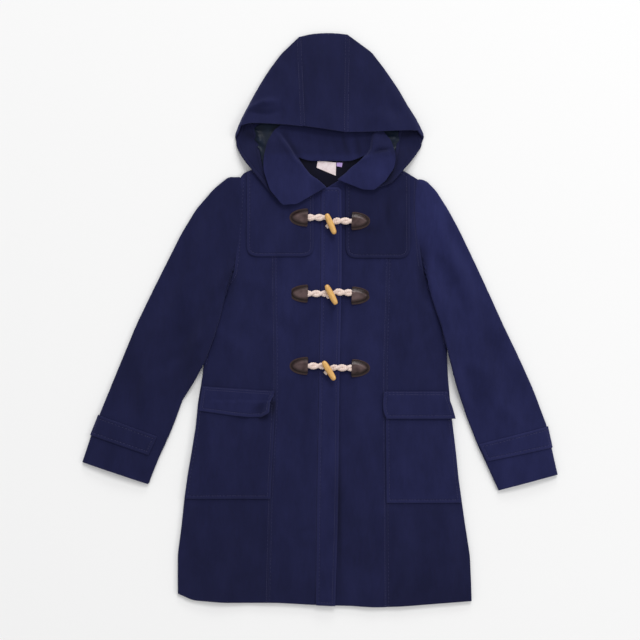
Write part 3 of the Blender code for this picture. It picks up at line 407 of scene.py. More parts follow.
# Long soft creases: from, to, height (a trough is below 0), half width, all in mm
creases = (
    # on the fronts
    (-150, 70, -40, 40, 0.9, 16), (-120, 20, -30, -30, -0.8, 15), (-60, 95, -45, -60, 0.7, 12),
    (-185, -10, -110, -70, 0.9, 14), (-100, -190, -60, -330, 0.9, 17), (-40, -150, -30, -300, -0.8, 14),
    (-150, -270, -130, -420, -1.0, 18), (-205, -250, -215, -400, 0.8, 15), (-75, -380, -85, -480, 1.0, 15),
    (-175, -420, -180, -495, 1.3, 16), (-120, -440, -122, -495, -1.0, 14), (-20, -430, -22, -495, 0.8, 14),
    (70, 60, 140, 20, 0.9, 15), (60, -20, 130, -60, -0.7, 16), (190, 10, 120, -40, 1.0, 15),
    (210, -30, 160, -75, -0.9, 12), (150, -180, 190, -300, 0.8, 18), (80, -200, 100, -330, 0.9, 15),
    (95, -330, 112, -450, -1.1, 15), (62, -300, 70, -420, 0.8, 13), (170, -330, 185, -440, -0.9, 16),
    (215, -340, 235, -480, 1.1, 16), (140, -430, 145, -500, 1.1, 14), (90, -460, 92, -503, 1.0, 12),
    # on the sleeves
    (-178, 190, -262, 20, 1.7, 17), (-205, 170, -280, 10, -1.3, 15), (-235, 60, -320, -120, 1.4, 18),
    (-210, 40, -270, -100, -1.4, 15), (-300, -60, -345, -170, -1.2, 15), (-280, -70, -320, -180, 1.2, 15),
    (-200, -10, -250, -70, 1.3, 13), (-225, -60, -300, -90, -0.9, 12), (-355, -110, -385, -190, 1.1, 14),
    (198, 200, 262, 40, 1.8, 17), (222, 170, 292, 20, -1.5, 14), (210, 110, 240, 20, -1.2, 13),
    (240, 60, 312, -110, 1.4, 18), (285, -20, 355, -160, -1.2, 16), (268, -60, 318, -170, 1.2, 15),
    (232, -20, 258, -90, -1.1, 12), (300, -130, 350, -190, 1.0, 14), (245, -75, 300, -100, 0.9, 12),
    # at the ends of the armholes and on the chest
    (-146, 112, -170, 28, -1.9, 7), (168, 133, 192, 28, -2.3, 7), (120, 232, 116, 150, -1.5, 6),
    (132, 225, 130, 165, 0.9, 8), (172, 28, 165, -40, -0.9, 9), (-7, -360, -50, -388, -0.7, 8),
    # on the hood
    (-126, 369, -76, 379, 1.7, 4.5), (-120, 359, -70, 368, -1.1, 5), (-120, 352, -60, 360, -0.9, 12),
    (-70, 460, -50, 380, 0.8, 14),
    (0, 470, -6, 380, 0.9, 18), (20, 440, 24, 350, -0.7, 14), (70, 450, 100, 370, 1.0, 18),
    (120, 390, 140, 350, -0.8, 12), (90, 352, 150, 345, 0.8, 14), (-90, 400, -70, 440, -0.7, 14),
)
pieceCreases = {
    "collar": (
        (-38, 326, -36, 286, -0.4, 7), (-24, 326, -27, 288, 0.5, 10), (12, 322, 14, 288, 1.0, 10),
        (25, 326, 27, 292, -0.8, 6), (33, 324, 42, 298, 2.0, 6), (41, 325, 50, 303, -2.2, 3.6),
        (50, 303, 67, 285, -2.0, 3.6), (60, 322, 66, 298, 2.6, 7), (78, 326, 79, 300, 1.4, 5),
        (92, 291, 123, 299, -2.6, 2.3), (94, 284, 124, 291, 1.2, 5), (96, 299, 122, 308, 1.0, 5),
        (-84, 300, -60, 250, 0.9, 12), (-62, 270, -40, 240, -0.7, 9), (-80, 240, -50, 215, 0.8, 10),
        (60, 262, 110, 250, 0.9, 11), (80, 240, 118, 268, -0.6, 9),
    ),
    "hood_lining": (
        (-119, 340, -112, 322, 2.2, 5), (-112, 322, -109, 300, 3.0, 4), (-104, 336, -101, 308, -2.8, 4),
        (-116, 314, -101, 318, -1.6, 2.6), (-114, 296, -103, 300, 1.8, 2.6), (-108, 330, -98, 326, 1.6, 2.6),
        (-96, 338, -98, 312, 1.8, 4), (-90, 342, -92, 322, -1.4, 4), (-113, 300, -108, 286, -1.6, 4),
        (-120, 326, -108, 318, 1.4, 3), (-117, 306, -105, 296, 1.8, 3), (-108, 290, -104, 272, 1.3, 4),
        (125, 330, 126, 304, -2.2, 4), (116, 324, 122, 310, 1.8, 4), (146, 326, 134, 302, 2.0, 4),
        (136, 328, 130, 300, -1.4, 4), (130, 300, 132, 280, 1.5, 4), (108, 330, 120, 318, -1.3, 4),
    ),
}

# Where the cloth is painted darker or lighter: mostly painted shade in folds, in the armpits and beside the
# placket's free edge, and painted light on the right-hand sleeve and the collar's leaf, with a little of the
# nap's own tone; place, half width and half length in mm, share
napAndShade = (
    (119, 190, 6, 27, -0.26), (80, 158, 24, 8, -0.20), (61, -350, 24, 15, -0.12), (88, -420, 24, 17, -0.12),
    (-150, -400, 30, 52, -0.08), (205, 158, 16, 60, 0.10), (-228, -70, 12, 45, -0.12),
    (-156, 70, 8, 45, -0.22), (180, 85, 8, 50, -0.28), (34, -340, 4, 130, -0.40), (-60, -60, 30, 60, 0.05),
    (90, -120, 34, 50, 0.05), (-120, -300, 40, 30, -0.05), (150, -340, 26, 60, 0.05),
    (-300, -140, 22, 40, 0.06), (300, -60, 14, 60, -0.07), (72, 168, 44, 44, -0.10), (20, 430, 50, 22, -0.05),
    (102, 262, 30, 26, 0.13), (-70, 380, 34, 18, 0.07), (90, 370, 34, 20, 0.06),
)


def solidOf(node):
    shape = bmesh.new()
    shape.from_mesh(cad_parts[node].data)
    return shape


def treeOf(node):
    return BVHTree.FromBMesh(solidOf(node))


def seenAt(tree, x, y):  # where a surface is met from above
    return tree.ray_cast(Vector((x, y, 0.1)), Vector((0.0, 0.0, -1.0)))[0]


def pointsOf(shape):
    return np.array([v.co[:] for v in shape.verts])


def setPoints(shape, points):
    for v, p in zip(shape.verts, points):
        v.co = p
    shape.normal_update()


def step(low, high, value):  # rises softly from 0 to 1
    t = np.clip((value - low) / (high - low), 0.0, 1.0)
    return t * t * (3.0 - 2.0 * t)


def fade(low, high, value):
    return 1.0 - step(low, high, value)


def bell(value, width):
    return np.exp(-(value / width) ** 2)


def joinRows(shape, rows, closed):  # faces between neighbouring rows of points
    for outer, inner in zip(rows, rows[1:]):
        for k in range(len(outer) - (not closed)):
            after = (k + 1) % len(outer)
            shape.faces.new((outer[k], outer[after], inner[after], inner[k]))


def addPiece(name, mesh, finish, node=None):
    piece = bpy.data.objects.new(name, mesh)
    bpy.context.scene.collection.objects.link(piece)
    mesh.materials.append(finish)
    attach(piece, "root")
    if node:
        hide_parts(node)
    return piece


def thicken(piece, thickness, radius, degrees):  # a wall below the sheet, with its edges rounded
    bpy.context.view_layer.objects.active = piece
    wall = piece.modifiers.new("wall", "SOLIDIFY")
    wall.thickness = thickness
    wall.offset = -1.0
    edges = piece.modifiers.new("edges", "BEVEL")
    edges.width = radius
    edges.segments = 2
    edges.limit_method = "ANGLE"
    edges.angle_limit = math.radians(degrees)
    bpy.ops.object.modifier_apply(modifier="wall")
    bpy.ops.object.modifier_apply(modifier="edges")
    piece.data.shade_smooth()


def outerSheet(node, corners):  # the faces of a solid that are seen from above, and its sharp corners
    shape = solidOf(node)
    bmesh.ops.remove_doubles(shape, verts=shape.verts, dist=0.00001)
    shape.normal_update()
    upward = [face for face in shape.faces if face.normal.z > 0.7]
    start = max(upward, key=lambda face: face.calc_center_median().z)
    limit = math.radians(cutting["fold"])
    kept, waiting = {start}, [start]
    while waiting:
        face = waiting.pop()
        for edge in face.edges:
            if len(edge.link_faces) != 2 or edge.calc_face_angle(4.0) > limit:
                continue
            for beside in edge.link_faces:
                if beside not in kept:
                    kept.add(beside)
                    waiting.append(beside)
    bmesh.ops.delete(shape, geom=[face for face in shape.faces if face not in kept], context="FACES")
    sharp = []
    for point in shape.verts:
        rims = [edge for edge in point.link_edges if edge.is_boundary]
        if len(rims) == 2:
            a, b = [(edge.other_vert(point).co - point.co) for edge in rims]
            if math.degrees(math.pi - a.angle(b)) > corners:
                sharp.append(point.co.copy())
    return shape, sharp


def refine(shape, cell):  # cuts long edges until a sheet with upright faces is fine enough
    for _ in range(9):
        long = []
        for edge in shape.edges:
            low = max(point.co.z for point in edge.verts) < cutting["foot"]
            if edge.calc_length() > cell * cutting["longestLow" if low else "longest"]:
                long.append(edge)
        if not long:
            break
        bmesh.ops.subdivide_edges(shape, edges=long, cuts=1)
        faces = [face for face in shape.faces if len(face.verts) > 3]
        bmesh.ops.triangulate(shape, faces=faces, quad_method="SHORT_EDGE", ngon_method="BEAUTY")


def evenSheet(shape, cell):  # the same surface, cut again into even triangles
    surface = BVHTree.FromBMesh(shape)
    spots, rimEdges, numbers = [], [], {}

    def numberOf(point):
        if point not in numbers:
            numbers[point] = len(spots)
            spots.append(point.co.copy())
        return numbers[point]

    for edge in shape.edges:
        if edge.is_boundary:
            a, b = edge.verts
            count = max(1, math.ceil((b.co - a.co).length / cell))
            line = [numberOf(a)]
            for k in range(1, count):
                line.append(len(spots))
                spots.append(a.co.lerp(b.co, k / count))
            line.append(numberOf(b))
            rimEdges += list(zip(line, line[1:]))
    nearRim = kdOf([spots[a].lerp(spots[b], share) for a, b in rimEdges for share in (0.0, 0.33, 0.67)])
    outline = pointsOf(shape)[:, :2]
    low, high = outline.min(axis=0), outline.max(axis=0)
    tall = cell * math.sqrt(0.75)
    for j in range(int((high[1] - low[1]) / tall) + 1):
        for i in range(int((high[0] - low[0]) / cell) + 2):
            hit = seenAt(surface, low[0] + (i - 0.5 * (j % 2)) * cell, low[1] + (j + 0.5) * tall)
            if hit is not None and nearRim.find(hit)[2] > cutting["fromRim"] * cell:
                spots.append(hit)
    flat = [Vector((p.x, p.y)) for p in spots]
    corners, _, triangles, sources, _, _ = delaunay_2d_cdt(flat, rimEdges, [], 1, 1e-7)
    even = bmesh.new()
    made = [even.verts.new((c.x, c.y, spots[own[0]].z if own else 0.0)) for c, own in zip(corners, sources)]
    for triangle in triangles:
        even.faces.new([made[k] for k in triangle])
    bmesh.ops.delete(even, geom=[v for v in even.verts if not v.link_faces], context="VERTS")
    even.normal_update()
    return even


def loosen(shape, least):  # takes out the shortest edges inside a sheet
    for _ in range(4):
        short = [edge for edge in shape.edges if edge.calc_length() < least
                 and not any(point.is_boundary for point in edge.verts)]
        short.sort(key=lambda edge: edge.calc_length())
        used, welded = set(), {}
        for edge in short:
            a, b = edge.verts
            besideA = {other.other_vert(a) for other in a.link_edges}
            besideB = {other.other_vert(b) for other in b.link_edges}
            if (besideA | besideB) & used or len(besideA & besideB) != 2:
                continue
            turned = False
            for face in a.link_faces:
                if b not in face.verts:
                    corners = [b.co if point is a else point.co for point in face.verts]
                    way = (corners[1] - corners[0]).cross(corners[2] - corners[0])
                    turned = turned or way.length < 1e-12 or way.normalized().dot(face.normal) < 0.7
            if not turned:
                used |= besideA | besideB
                welded[a] = b
        if not welded:
            break
        bmesh.ops.weld_verts(shape, targetmap=welded)
        shape.normal_update()


def neighbourMean(points, pairs):
    a, b = pairs[:, 0], pairs[:, 1]
    count = len(points)
    near = np.bincount(a, minlength=count) + np.bincount(b, minlength=count)
    total = np.stack([np.bincount(a, points[b, k], count) + np.bincount(b, points[a, k], count)
                      for k in range(points.shape[1])], axis=1)
    return total / np.maximum(near, 1)[:, None]


def soften(points, pairs, rimPairs, fixed, rounds, reach):  # evens out a sheet, its rim along itself
    start = points.copy()
    rim = np.isin(np.arange(len(points)), rimPairs)[:, None]
    for number in range(rounds):
        for pull in (0.5, -0.52) if number < rounds - 3 else (0.35,):
            target = np.where(rim, neighbourMean(points, rimPairs), neighbourMean(points, pairs))
            points = points + pull * (target - points) * ~fixed[:, None]
    shift = points - start
    far = np.linalg.norm(shift, axis=1, keepdims=True)
    return start + shift * np.minimum(1.0, reach / np.maximum(far, 1e-9))


def creaseHeight(points, table, bow=5.0):  # how far a table of creases lifts each point, in m
    x, y = points[:, 0] / mm, points[:, 1] / mm
    total = np.zeros(len(points))
    for x1, y1, x2, y2, height, width in table:
        ax, ay = x2 - x1, y2 - y1
        t = np.clip(((x - x1) * ax + (y - y1) * ay) / (ax * ax + ay * ay), 0.0, 1.0)
        bend = bow * np.sin(math.pi * t + x1) * math.copysign(1.0, height)  # no crease is quite straight
        along = math.hypot(ax, ay)
        px, py = x1 + t * ax - ay / along * bend, y1 + t * ay + ax / along * bend
        taper = np.sin(math.pi * np.clip(t * 0.9 + 0.05, 0.0, 1.0)) ** 0.7
        total += height * taper * bell(np.hypot(x - px, y - py), width * (0.8 + 0.4 * t))
    return total * mm


waves = (  # how uneven the cloth lies: how often across and along, which pattern, height in mm
    (17.0, 13.0, 3.0, 0.55), (60.0, 48.0, 9.0, 0.16),
)


def unevenness(points):
    return sum(np.array([noise.noise((x * across, y * along, pattern)) for x, y, _ in points]) * height * mm
               for across, along, pattern, height in waves)


clearing = {  # where the creases fade out, in mm
    "alongToggle": (20.0, 42.0),
    "acrossToggle": (60.0, 85.0),
    "toggles": 17.0,  # where they lie across the coat
    "neck": (16.0, 300.0),
    "neckWidened": 1.15,
    "roundNeck": (150.0, 190.0),
}


def keepClear(points):  # the creases stay away from the toggles and, but for the hood, from the neck
    x, y = points[:, 0] / mm, points[:, 1] / mm
    clear = np.ones(len(points))
    for number in (1, 2, 3):
        low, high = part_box(f"toggle_{number}")
        middle = (low[1] + high[1]) / 2 / mm
        clear *= 1.0 - (fade(*clearing["alongToggle"], np.abs(y - middle))
                        * fade(*clearing["acrossToggle"], np.abs(x - clearing["toggles"])))
    neckX, neckY = clearing["neck"]
    return clear, fade(*clearing["roundNeck"],
                       np.hypot((x - neckX) * clearing["neckWidened"], y - neckY))


cloths = {}  # name of a node: its rows of stitching, its surface and the tree of its rim


def rimPoints(shape, spacing):  # places along the rim, with the ways into the sheet and along it
    found = []
    for edge in shape.edges:
        if not edge.is_boundary:
            continue
        a, b = edge.verts[0].co, edge.verts[1].co
        face = edge.link_faces[0]
        along = (b - a).normalized()
        inward = face.normal.cross(along).normalized()
        if inward.dot(face.calc_center_median() - (a + b) / 2) < 0:
            inward = -inward
        count = max(1, round((b - a).length / spacing))
        for k in range(count):
            found.append((a.lerp(b, (k + 0.5) / count), inward, along))
    return found


def away(points, tree, default):
    if tree is None:
        return np.full(len(points), default)
    return np.array([min(tree.find(p)[2], default) for p in points])


def kdOf(places):
    if not places:
        return None
    tree = KDTree(len(places))
    for number, place in enumerate(places):
        tree.insert(place, number)
    tree.balance()
    return tree


tucking = {  # how a sleeve's edge goes on under the front at the armhole
    "full": 8.0 * mm,  # nearer to the front than this it is tucked wholly
    "none": 16.0 * mm,
    "foot": 20.0 * mm,  # where the armhole ends, and where it begins at the shoulder
    "top": 270.0 * mm,
    "under": 2.8 * mm,
    "sink": 1.6 * mm,
    "reach": 12.0 * mm,  # how far into the sleeve it shows
    "neighbours": 18,
    "rounds": 30,  # of smoothing after it
    "settle": 4.0 * mm,
    "smoothed": 15.0 * mm,
}


def tuckUnder(shape, points, other):  # carries the sleeve's edge on under the front at the armhole
    tree = treeOf(other)
    rims, ways = [], []
    for spot, inward, _ in rimPoints(shape, 1.0 * mm):
        gap = tree.find_nearest(spot)[3]
        if gap < tucking["none"] and tucking["foot"] < spot.y < tucking["top"]:
            rims.append(spot)
            way = -inward * (tucking["under"] + gap)
            ways.append(np.array(way[:]) * fade(tucking["full"], tucking["none"], gap))
    seam = kdOf(rims)
    for k, place in enumerate(points):
        gap = seam.find(place)[2]
        if gap < tucking["reach"]:
            near = [number for _, number, _ in seam.find_n(place, tucking["neighbours"])]
            share = (1.0 - gap / tucking["reach"]) ** 2
            points[k] += np.mean([ways[number] for number in near], axis=0) * share
            points[k, 2] -= tucking["sink"] * share
    near = np.array([max(0.0, 1.0 - seam.find(place)[2] / tucking["smoothed"]) for place in points])
    return tucking["settle"] * near[:, None]


# The shaded tone is one value, or pairs of a place along the coat and the value there; besides the cloth's
# own tone it holds painted light and shade.
# The shades are lines of painted shadow, or of painted highlight where the share is above 0: from, to, share,
# half width.
def shadedToneOf(points, facing, tone, shades):
    x, y = points[:, 0] / mm, points[:, 1] / mm
    if isinstance(tone, float):
        tone = ((0, tone),)
    made = np.interp(y, [place for place, _ in tone], [value for _, value in tone])
    upward = step(-0.2, 0.2, facing)
    for middleX, middleY, wide, long, share in napAndShade:
        made *= 1.0 + upward * share * bell(x - middleX, wide) * bell(y - middleY, long)
    made *= 1.0 + upward * creaseHeight(points, shades, 0.0) / mm
    return np.clip(made, 0.12, 2.0)


def sewnLine(surface, line):  # a row of stitching that follows no edge
    found = []
    for (x1, y1), (x2, y2) in zip(line, line[1:]):
        ahead = Vector((x2 - x1, y2 - y1, 0.0))
        count = max(2, round(ahead.length))
        for k in range(count):
            hit = seenAt(surface, (x1 + ahead.x * k / count) * mm, (y1 + ahead.y * k / count) * mm)
            if hit is not None:
                found.append((hit, Vector((0.0, 0.0, 0.0)), ahead.normalized()))
    return found


flapShape = {
    "top": ((-205.3, -115.5), (-160, -118.6), (-120, -121.4), (-78.6, -123.8)),
    "low": ((-210.9, -158.4), (-184, -161.8), (-149, -166.8), (-122, -169.2), (-104, -168.6), (-94, -163.5),
            (-88.8, -160.2)),
    "side": ((-78.6, -123.8), (-81.5, -132), (-88.0, -142.5), (-88.4, -152), (-88.8, -160.2)),
    "size": (132 * mm, 44 * mm),
    "lift": 8.4,  # how far the inner corner curls up
    "lowest": 8.6 * mm,
    "least": 2.35,  # above what it lies on
}


def alongLine(line, share):  # the place at a share of a line's length
    spots = np.array(line, float)
    lengths = np.r_[0.0, np.cumsum(np.hypot(*np.diff(spots, axis=0).T))]
    return np.stack([np.interp(share * lengths[-1], lengths, spots[:, k]) for k in (0, 1)], axis=-1)


def curledFlap(cell):  # the flap with the corner that curls up
    below = treeOf("pocket_r"), treeOf("front_side_r")
    across, down = (round(size / cell) for size in flapShape["size"])
    shape = bmesh.new()
    grid = []
    for i in range(across + 1):
        u = i / across
        top, foot = alongLine(flapShape["top"], u), alongLine(flapShape["low"], u)
        row = []
        for j in range(down + 1):
            v = j / down
            x, y = top + (foot - top) * v
            side = alongLine(flapShape["side"], v)
            start, end = np.array(flapShape["side"][0]), np.array(flapShape["low"][-1])
            x, y = (x, y) + (side - start - (end - start) * v) * step(0.72, 1.0, u)
            hits = [seenAt(tree, x * mm, y * mm) for tree in below]
            rest = max(hit.z if hit is not None else 0.0 for hit in hits)
            rise = 2.4 + 0.9 * math.sin(math.pi * v) - step(0.06, 0.0, v)
            corner = (u - 1.0) * 4.6 + (v - 1.0)  # 0 at the inner corner, falling away from it
            rise += flapShape["lift"] * step(-0.95, 0.05, corner) ** 1.3
            rise += 2.2 * step(-2.6, -1.5, corner) * step(0.1, 0.6, v)
            rise -= 4.6 * bell(corner + 1.0, 0.36) * step(0.30, 0.85, v)  # the fold before the corner
            rise += 0.7 * bell(u - 0.42 - 0.06 * v, 0.05) - 0.6 * bell(u - 0.52, 0.05)
            z = max(rest, flapShape["lowest"]) + max(rise, flapShape["least"]) * mm
            row.append(shape.verts.new((x * mm, y * mm, z)))
        grid.append(row)
    joinRows(shape, grid, False)
    shape.normal_update()
    return shape


def cutSheet(node, look, cell):
    if "made" in look:
        return look["made"](cell), []
    shape, sharp = outerSheet(node, look.get("corner", cutting["corner"]))
    if min(face.normal.z for face in shape.faces) > 0.12:
        return evenSheet(shape, cell), sharp
    refine(shape, cell)
    shape.normal_update()
    loosen(shape, cutting["shortest"] * cell)
    return shape, sharp


snaps = {  # where the hidden snaps press through the fly band, all in mm
    "places": ((21, 93), (21, -37), (19.5, -180), (19, -345)),
    "height": 0.55,
    "radius": 8.5,
}


def addCreases(node, look, points, weight):
    x, y, z = points.T
    share = look.get("creased", 1.0)
    if share:
        clear, neck = keepClear(points)
        low = look.get("rest", 2.0 * mm)
        rise = (creaseHeight(points, creases) * cutting["creased"] + unevenness(points)) * share
        rise *= clear * (1.0 if "hood" in node else 1.0 - neck) * weight
        z += rise * step(low, low + 4.5 * mm, z)
    z += creaseHeight(points, pieceCreases.get(node, ()), 1.5)
    if "shaping" in look:
        look["shaping"](points)
    if node == "placket":
        for snapX, snapY in snaps["places"]:
            z += snaps["height"] * mm * bell(np.hypot(x / mm - snapX, y / mm - snapY), snaps["radius"])


def stitchRows(look, rims, surface):  # each row: the edge that it follows and how far inside it
    rows = [(sewnLine(surface, line), 0.0) for line in look.get("lines", ())]
    for beside, inset in look.get("rows", ((None, sewing["inset"]),)):
        followed = rims
        if beside == "top":
            followed = [r for r in rims if r[1].y < -0.8]
        elif beside:
            tree = treeOf(beside)
            followed = [r for r in rims if tree.find_nearest(r[0])[3] < sewing["beside"]]
        if followed:
            rows.append((followed, inset))
    return rows


def clothShell(node, look):
    shape, sharp = cutSheet(node, look, look.get("cell", cutting["cell"]) * (1.0))
    upright = min(face.normal.z for face in shape.faces) > 0.0
    shape.verts.index_update()
    points = pointsOf(shape)
    pairs = np.array([(e.verts[0].index, e.verts[1].index) for e in shape.edges])
    rimPairs = pairs[np.array([e.is_boundary for e in shape.edges])]
    fixed = np.zeros(len(points), bool)
    tree = kdOf([tuple(p) for p in points])
    rounded = look.get("rounded", ())
    for place in sharp:
        if all(math.hypot(place.x - x * mm, place.y - y * mm) > cutting["notSharp"] for x, y in rounded):
            fixed[tree.find(place)[1]] = True
    reach = np.full((len(points), 1), look.get("settle", cutting["settle"]))
    for x, y in rounded:
        near = np.hypot(points[:, 0] - x * mm, points[:, 1] - y * mm)[:, None]
        reach += cutting["loose"] * fade(*cutting["rounding"], near)
    rounds = look.get("rounds", cutting["rounds"])
    points = soften(points, pairs, rimPairs, fixed, rounds, reach)
    setPoints(shape, points)
    facing = np.array([v.normal.z for v in shape.verts])
    addCreases(node, look, points, 1.0 if upright else step(0.15, 0.75, facing))
    if "joins" in look:
        reach = tuckUnder(shape, points, look["joins"])
        points = soften(points, pairs, rimPairs, np.zeros_like(fixed), tucking["rounds"], reach)
    lowest = look.get("lowest", look["wall"] + 0.1 * mm)
    points[:, 2] = np.maximum(points[:, 2], np.where(facing > 0.2, lowest, 0.1 * mm))
    setPoints(shape, points)
    area = sum(face.calc_area() for face in shape.faces)

    rims = rimPoints(shape, 1.0 * mm)
    surface = BVHTree.FromBMesh(shape)
    rows = stitchRows(look, rims, surface)
    far = cutting["far"]
    edgeTree = kdOf([r[0] for r in rims])
    fromRow = np.full(len(points), far)
    for followed, inset in rows:
        beyond = away(points, kdOf([r[0] for r in followed]), far) - inset
        fromRow = np.where(np.abs(beyond) < np.abs(fromRow), beyond, fromRow)
    marks = {
        "fromEdge": np.full(len(points), far) if look.get("soft") else away(points, edgeTree, far),
        "fromStitched": np.where(facing < -0.2, far, fromRow + sewing["inset"]),
        "tone": shadedToneOf(points, facing - (2.0 if node == "back" else 0.0), look.get("tone", 1.0),
                       look.get("shades", ())),
    }
    mesh = bpy.data.meshes.new(look["name"])
    shape.to_mesh(mesh)
    shape.free()
    for key, values in marks.items():
        mesh.attributes.new(key, "FLOAT", "POINT").data.foreach_set("value", values)
    cloths[node] = {"rows": rows, "surface": surface, "edge": edgeTree}

    piece = addPiece(look["name"], mesh, look["finish"], node)
    thicken(piece, look["wall"], look.get("edgeRadius", cutting["edgeRadius"]), 65)
    for v in piece.data.vertices:
        v.co.z = max(v.co.z, cutting["clear"])
    width, length = look["cut"]
    round(min(area, 0.99 * width * length), 5)
    print("cloth:", node, len(piece.data.polygons), "faces", round(area * 1e4), "cm2")


navyWool = woolFinish("navy wool", sewing["inset"])
linings = {"hood_lining": satinFinish("teal lining satin", *satin["teal"], 0.13),
           "neck_lining": satinFinish("navy lining satin", *satin["navy"], 0.10)}


def fromSegment(spots, a, b):  # how far along a segment each spot lies, from 0 to 1, and how far off it
    a = np.array(a, float)
    ahead = np.array(b, float) - a
    t = np.clip(((spots - a) @ ahead) / (ahead @ ahead), 0.0, 1.0)
    return t, np.hypot(*(spots - (a + t[:, None] * ahead)).T)


def besideLine(points, line):  # how far in mm a point lies to the left of someone who walks the line
    spots = points[:, :2] / mm
    best = np.full(len(points), 1e9)
    side = np.zeros(len(points))
    for a, b in zip(line, line[1:]):
        far = fromSegment(spots, a, b)[1]
        turned = (b[0] - a[0]) * (spots[:, 1] - a[1]) - (b[1] - a[1]) * (spots[:, 0] - a[0])
        closer = far < best - 1e-6
        best = np.where(closer, far, best)
        side = np.where(closer, np.sign(turned), side)
    return best * side


collarShape = {  # in mm
    "rollRight": ((-90, 370), (-76, 331), (-65, 315), (-54, 299), (-44, 282), (-33, 269), (-24, 257),
                  (-10, 243), (2, 232)),
    "rollLeft": ((27, 243), (39, 256), (53, 268), (70, 280), (84, 287), (90, 297), (92, 315), (96, 331),
                 (100, 370)),
    "standTop": 7.5,  # the stand lies low between the two leaves
    "standRise": 2.0,  # towards the rolls
    "riseWidth": 9.0,
    "drop": (-0.6, 4.2),
    "roll": 1.3,
    "rollPlace": 3.4,
    "rollWidth": 3.6,
    "back": (266.0, 279.0),  # the folded part begins here
    "behind": (279.0, 290.0),
    "shift": 2.5,
    "under": (-12.0, -2.0),  # what lies under the collar is flat from here on
}
neckLining = {
    "middle": (16 * mm, 254 * mm),
    "grown": (1.45, 1.42),
}
backEnds = {  # the ends of the armholes
    "foot": (35 * mm, 75 * mm),
    "top": (140 * mm, 175 * mm),
    "side": (105 * mm, 145 * mm),
    "out": 12 * mm,
    "up": 0.7 * mm,
}
mouthLining = {
    "high": (296 * mm, 318 * mm),
    "right": (70 * mm, 100 * mm),
    "rightOut": 19 * mm,
    "corner": (322 * mm, 340 * mm),
    "cornerSide": (60 * mm, 90 * mm),
    "cornerOut": 12 * mm,
    "left": (100 * mm, 126 * mm),
    "leftOut": 18 * mm,
    "rightEnd": (104 * mm, 120 * mm),
    "leftEnd": (136 * mm, 150 * mm),
    "flat": 3.5 * mm,
    "crumples": (  # at the right corner, in mm
        (-115, 334, -106, 326, 2.6, 2.4), (-111, 329, -104, 311, 3.0, 2.4), (-114, 317, -105, 307, 2.4, 2.2),
        (-104, 324, -99, 306, 2.2, 2.2), (-111, 304, -104, 295, 2.0, 2.2),
    ),
}
hoodBack = {
    "foot": (281 * mm, 292 * mm),
    "top": (331 * mm, 337 * mm),
    "height": (12 * mm, 15 * mm),
    "flat": 0.1 * mm,
}
facingShape = {
    "reach": 15.0,  # mm
    "longer": 8.0,  # how much more it grows at its far end
    "height": 3.8 * mm,
    "wing": 240 * mm,  # below this the end of the hood's edge is drawn up
    "wingSide": 150 * mm,
    "wingUp": 0.65,
    "wingIn": 0.40,
}


def insideRolls(points):  # how far inside the two rolls of the collar a point lies, in mm
    return np.minimum(*(besideLine(points, collarShape[roll]) for roll in ("rollRight", "rollLeft")))


def foldCollar(points):
    _, y, z = points.T
    inside = insideRolls(points)
    above = step(*collarShape["back"], y / mm)
    low = collarShape["standTop"] + collarShape["standRise"] * np.exp(-np.maximum(inside, 0.0)
                                                                      / collarShape["riseWidth"])
    flat = np.minimum(z, low * mm + (z - low * mm) * 0.12)
    z += (flat - z) * step(*collarShape["drop"], inside) * above
    z += collarShape["roll"] * mm * bell(inside + collarShape["rollPlace"], collarShape["rollWidth"]) * above
    y -= collarShape["shift"] * mm * step(0.0, 12.0, inside) * fade(*collarShape["behind"], y / mm) * above


def growNeckLining(points):
    middle = np.array(neckLining["middle"])
    points[:, :2] = middle + (points[:, :2] - middle) * np.array(neckLining["grown"])


def growBack(points):  # under the ends of the armholes the back goes on into the sleeves
    x, y, z = points.T
    share = step(*backEnds["foot"], y) * fade(*backEnds["top"], y) * step(*backEnds["side"], np.abs(x))
    x += np.sign(x) * backEnds["out"] * share
    z += backEnds["up"] * share


def spreadLining(points):  # the hood's lining reaches both corners of the mouth
    x, y, z = points.T
    lining = mouthLining
    high = step(*lining["high"], y)
    x -= lining["rightOut"] * step(*lining["right"], -x) * high
    x -= lining["cornerOut"] * step(*lining["cornerSide"], -x) * step(*lining["corner"], y)
    x += lining["leftOut"] * step(*lining["left"], x) * high
    sunk = step(*collarShape["under"], insideRolls(points))
    sunk = np.maximum(sunk, np.maximum(step(*lining["rightEnd"], -x), step(*lining["leftEnd"], x)))
    z -= np.maximum(z - lining["flat"], 0.0) * sunk
    z += creaseHeight(points, lining["crumples"], 1.5)


def layFlat(points):  # the hood's back lies flat under the collar's stand
    _, y, z = points.T
    sunk = step(*collarShape["under"], insideRolls(points)) * step(*hoodBack["foot"], y)
    sunk *= fade(*hoodBack["top"], y) * fade(*hoodBack["height"], z)
    z -= np.maximum(z - hoodBack["flat"], 0.0) * sunk


def growFacing(corner, end, out):  # carries a facing on under the hood where the mouth's edge folds over
    def shaping(points):
        t, far = fromSegment(points[:, :2] / mm, corner, end)
        share = np.clip(1.0 - far / facingShape["reach"], 0.0, 1.0) ** 1.5
        points[:, :2] += np.outer((1.0 + facingShape["longer"] * t) * share * mm, out)
        points[:, 2] += (facingShape["height"] - points[:, 2]) * share * 0.7
    return shaping


def tuckWing(shaping):  # after another shaping, the end of the hood's edge goes in under the collar
    def tucked(points):
        shaping(points)
        x, y, _ = points.T
        below = np.maximum(facingShape["wing"] - y, 0.0) * (x < facingShape["wingSide"])
        y += below * facingShape["wingUp"]
        x += below * facingShape["wingIn"]
    return tucked


def sewn(width, length, *restsOn, wall=1.7 * mm, **more):  # the flat piece in m, and what it lies on
    return {"cut": (width, length), "restsOn": list(restsOn), "wall": wall, **more}


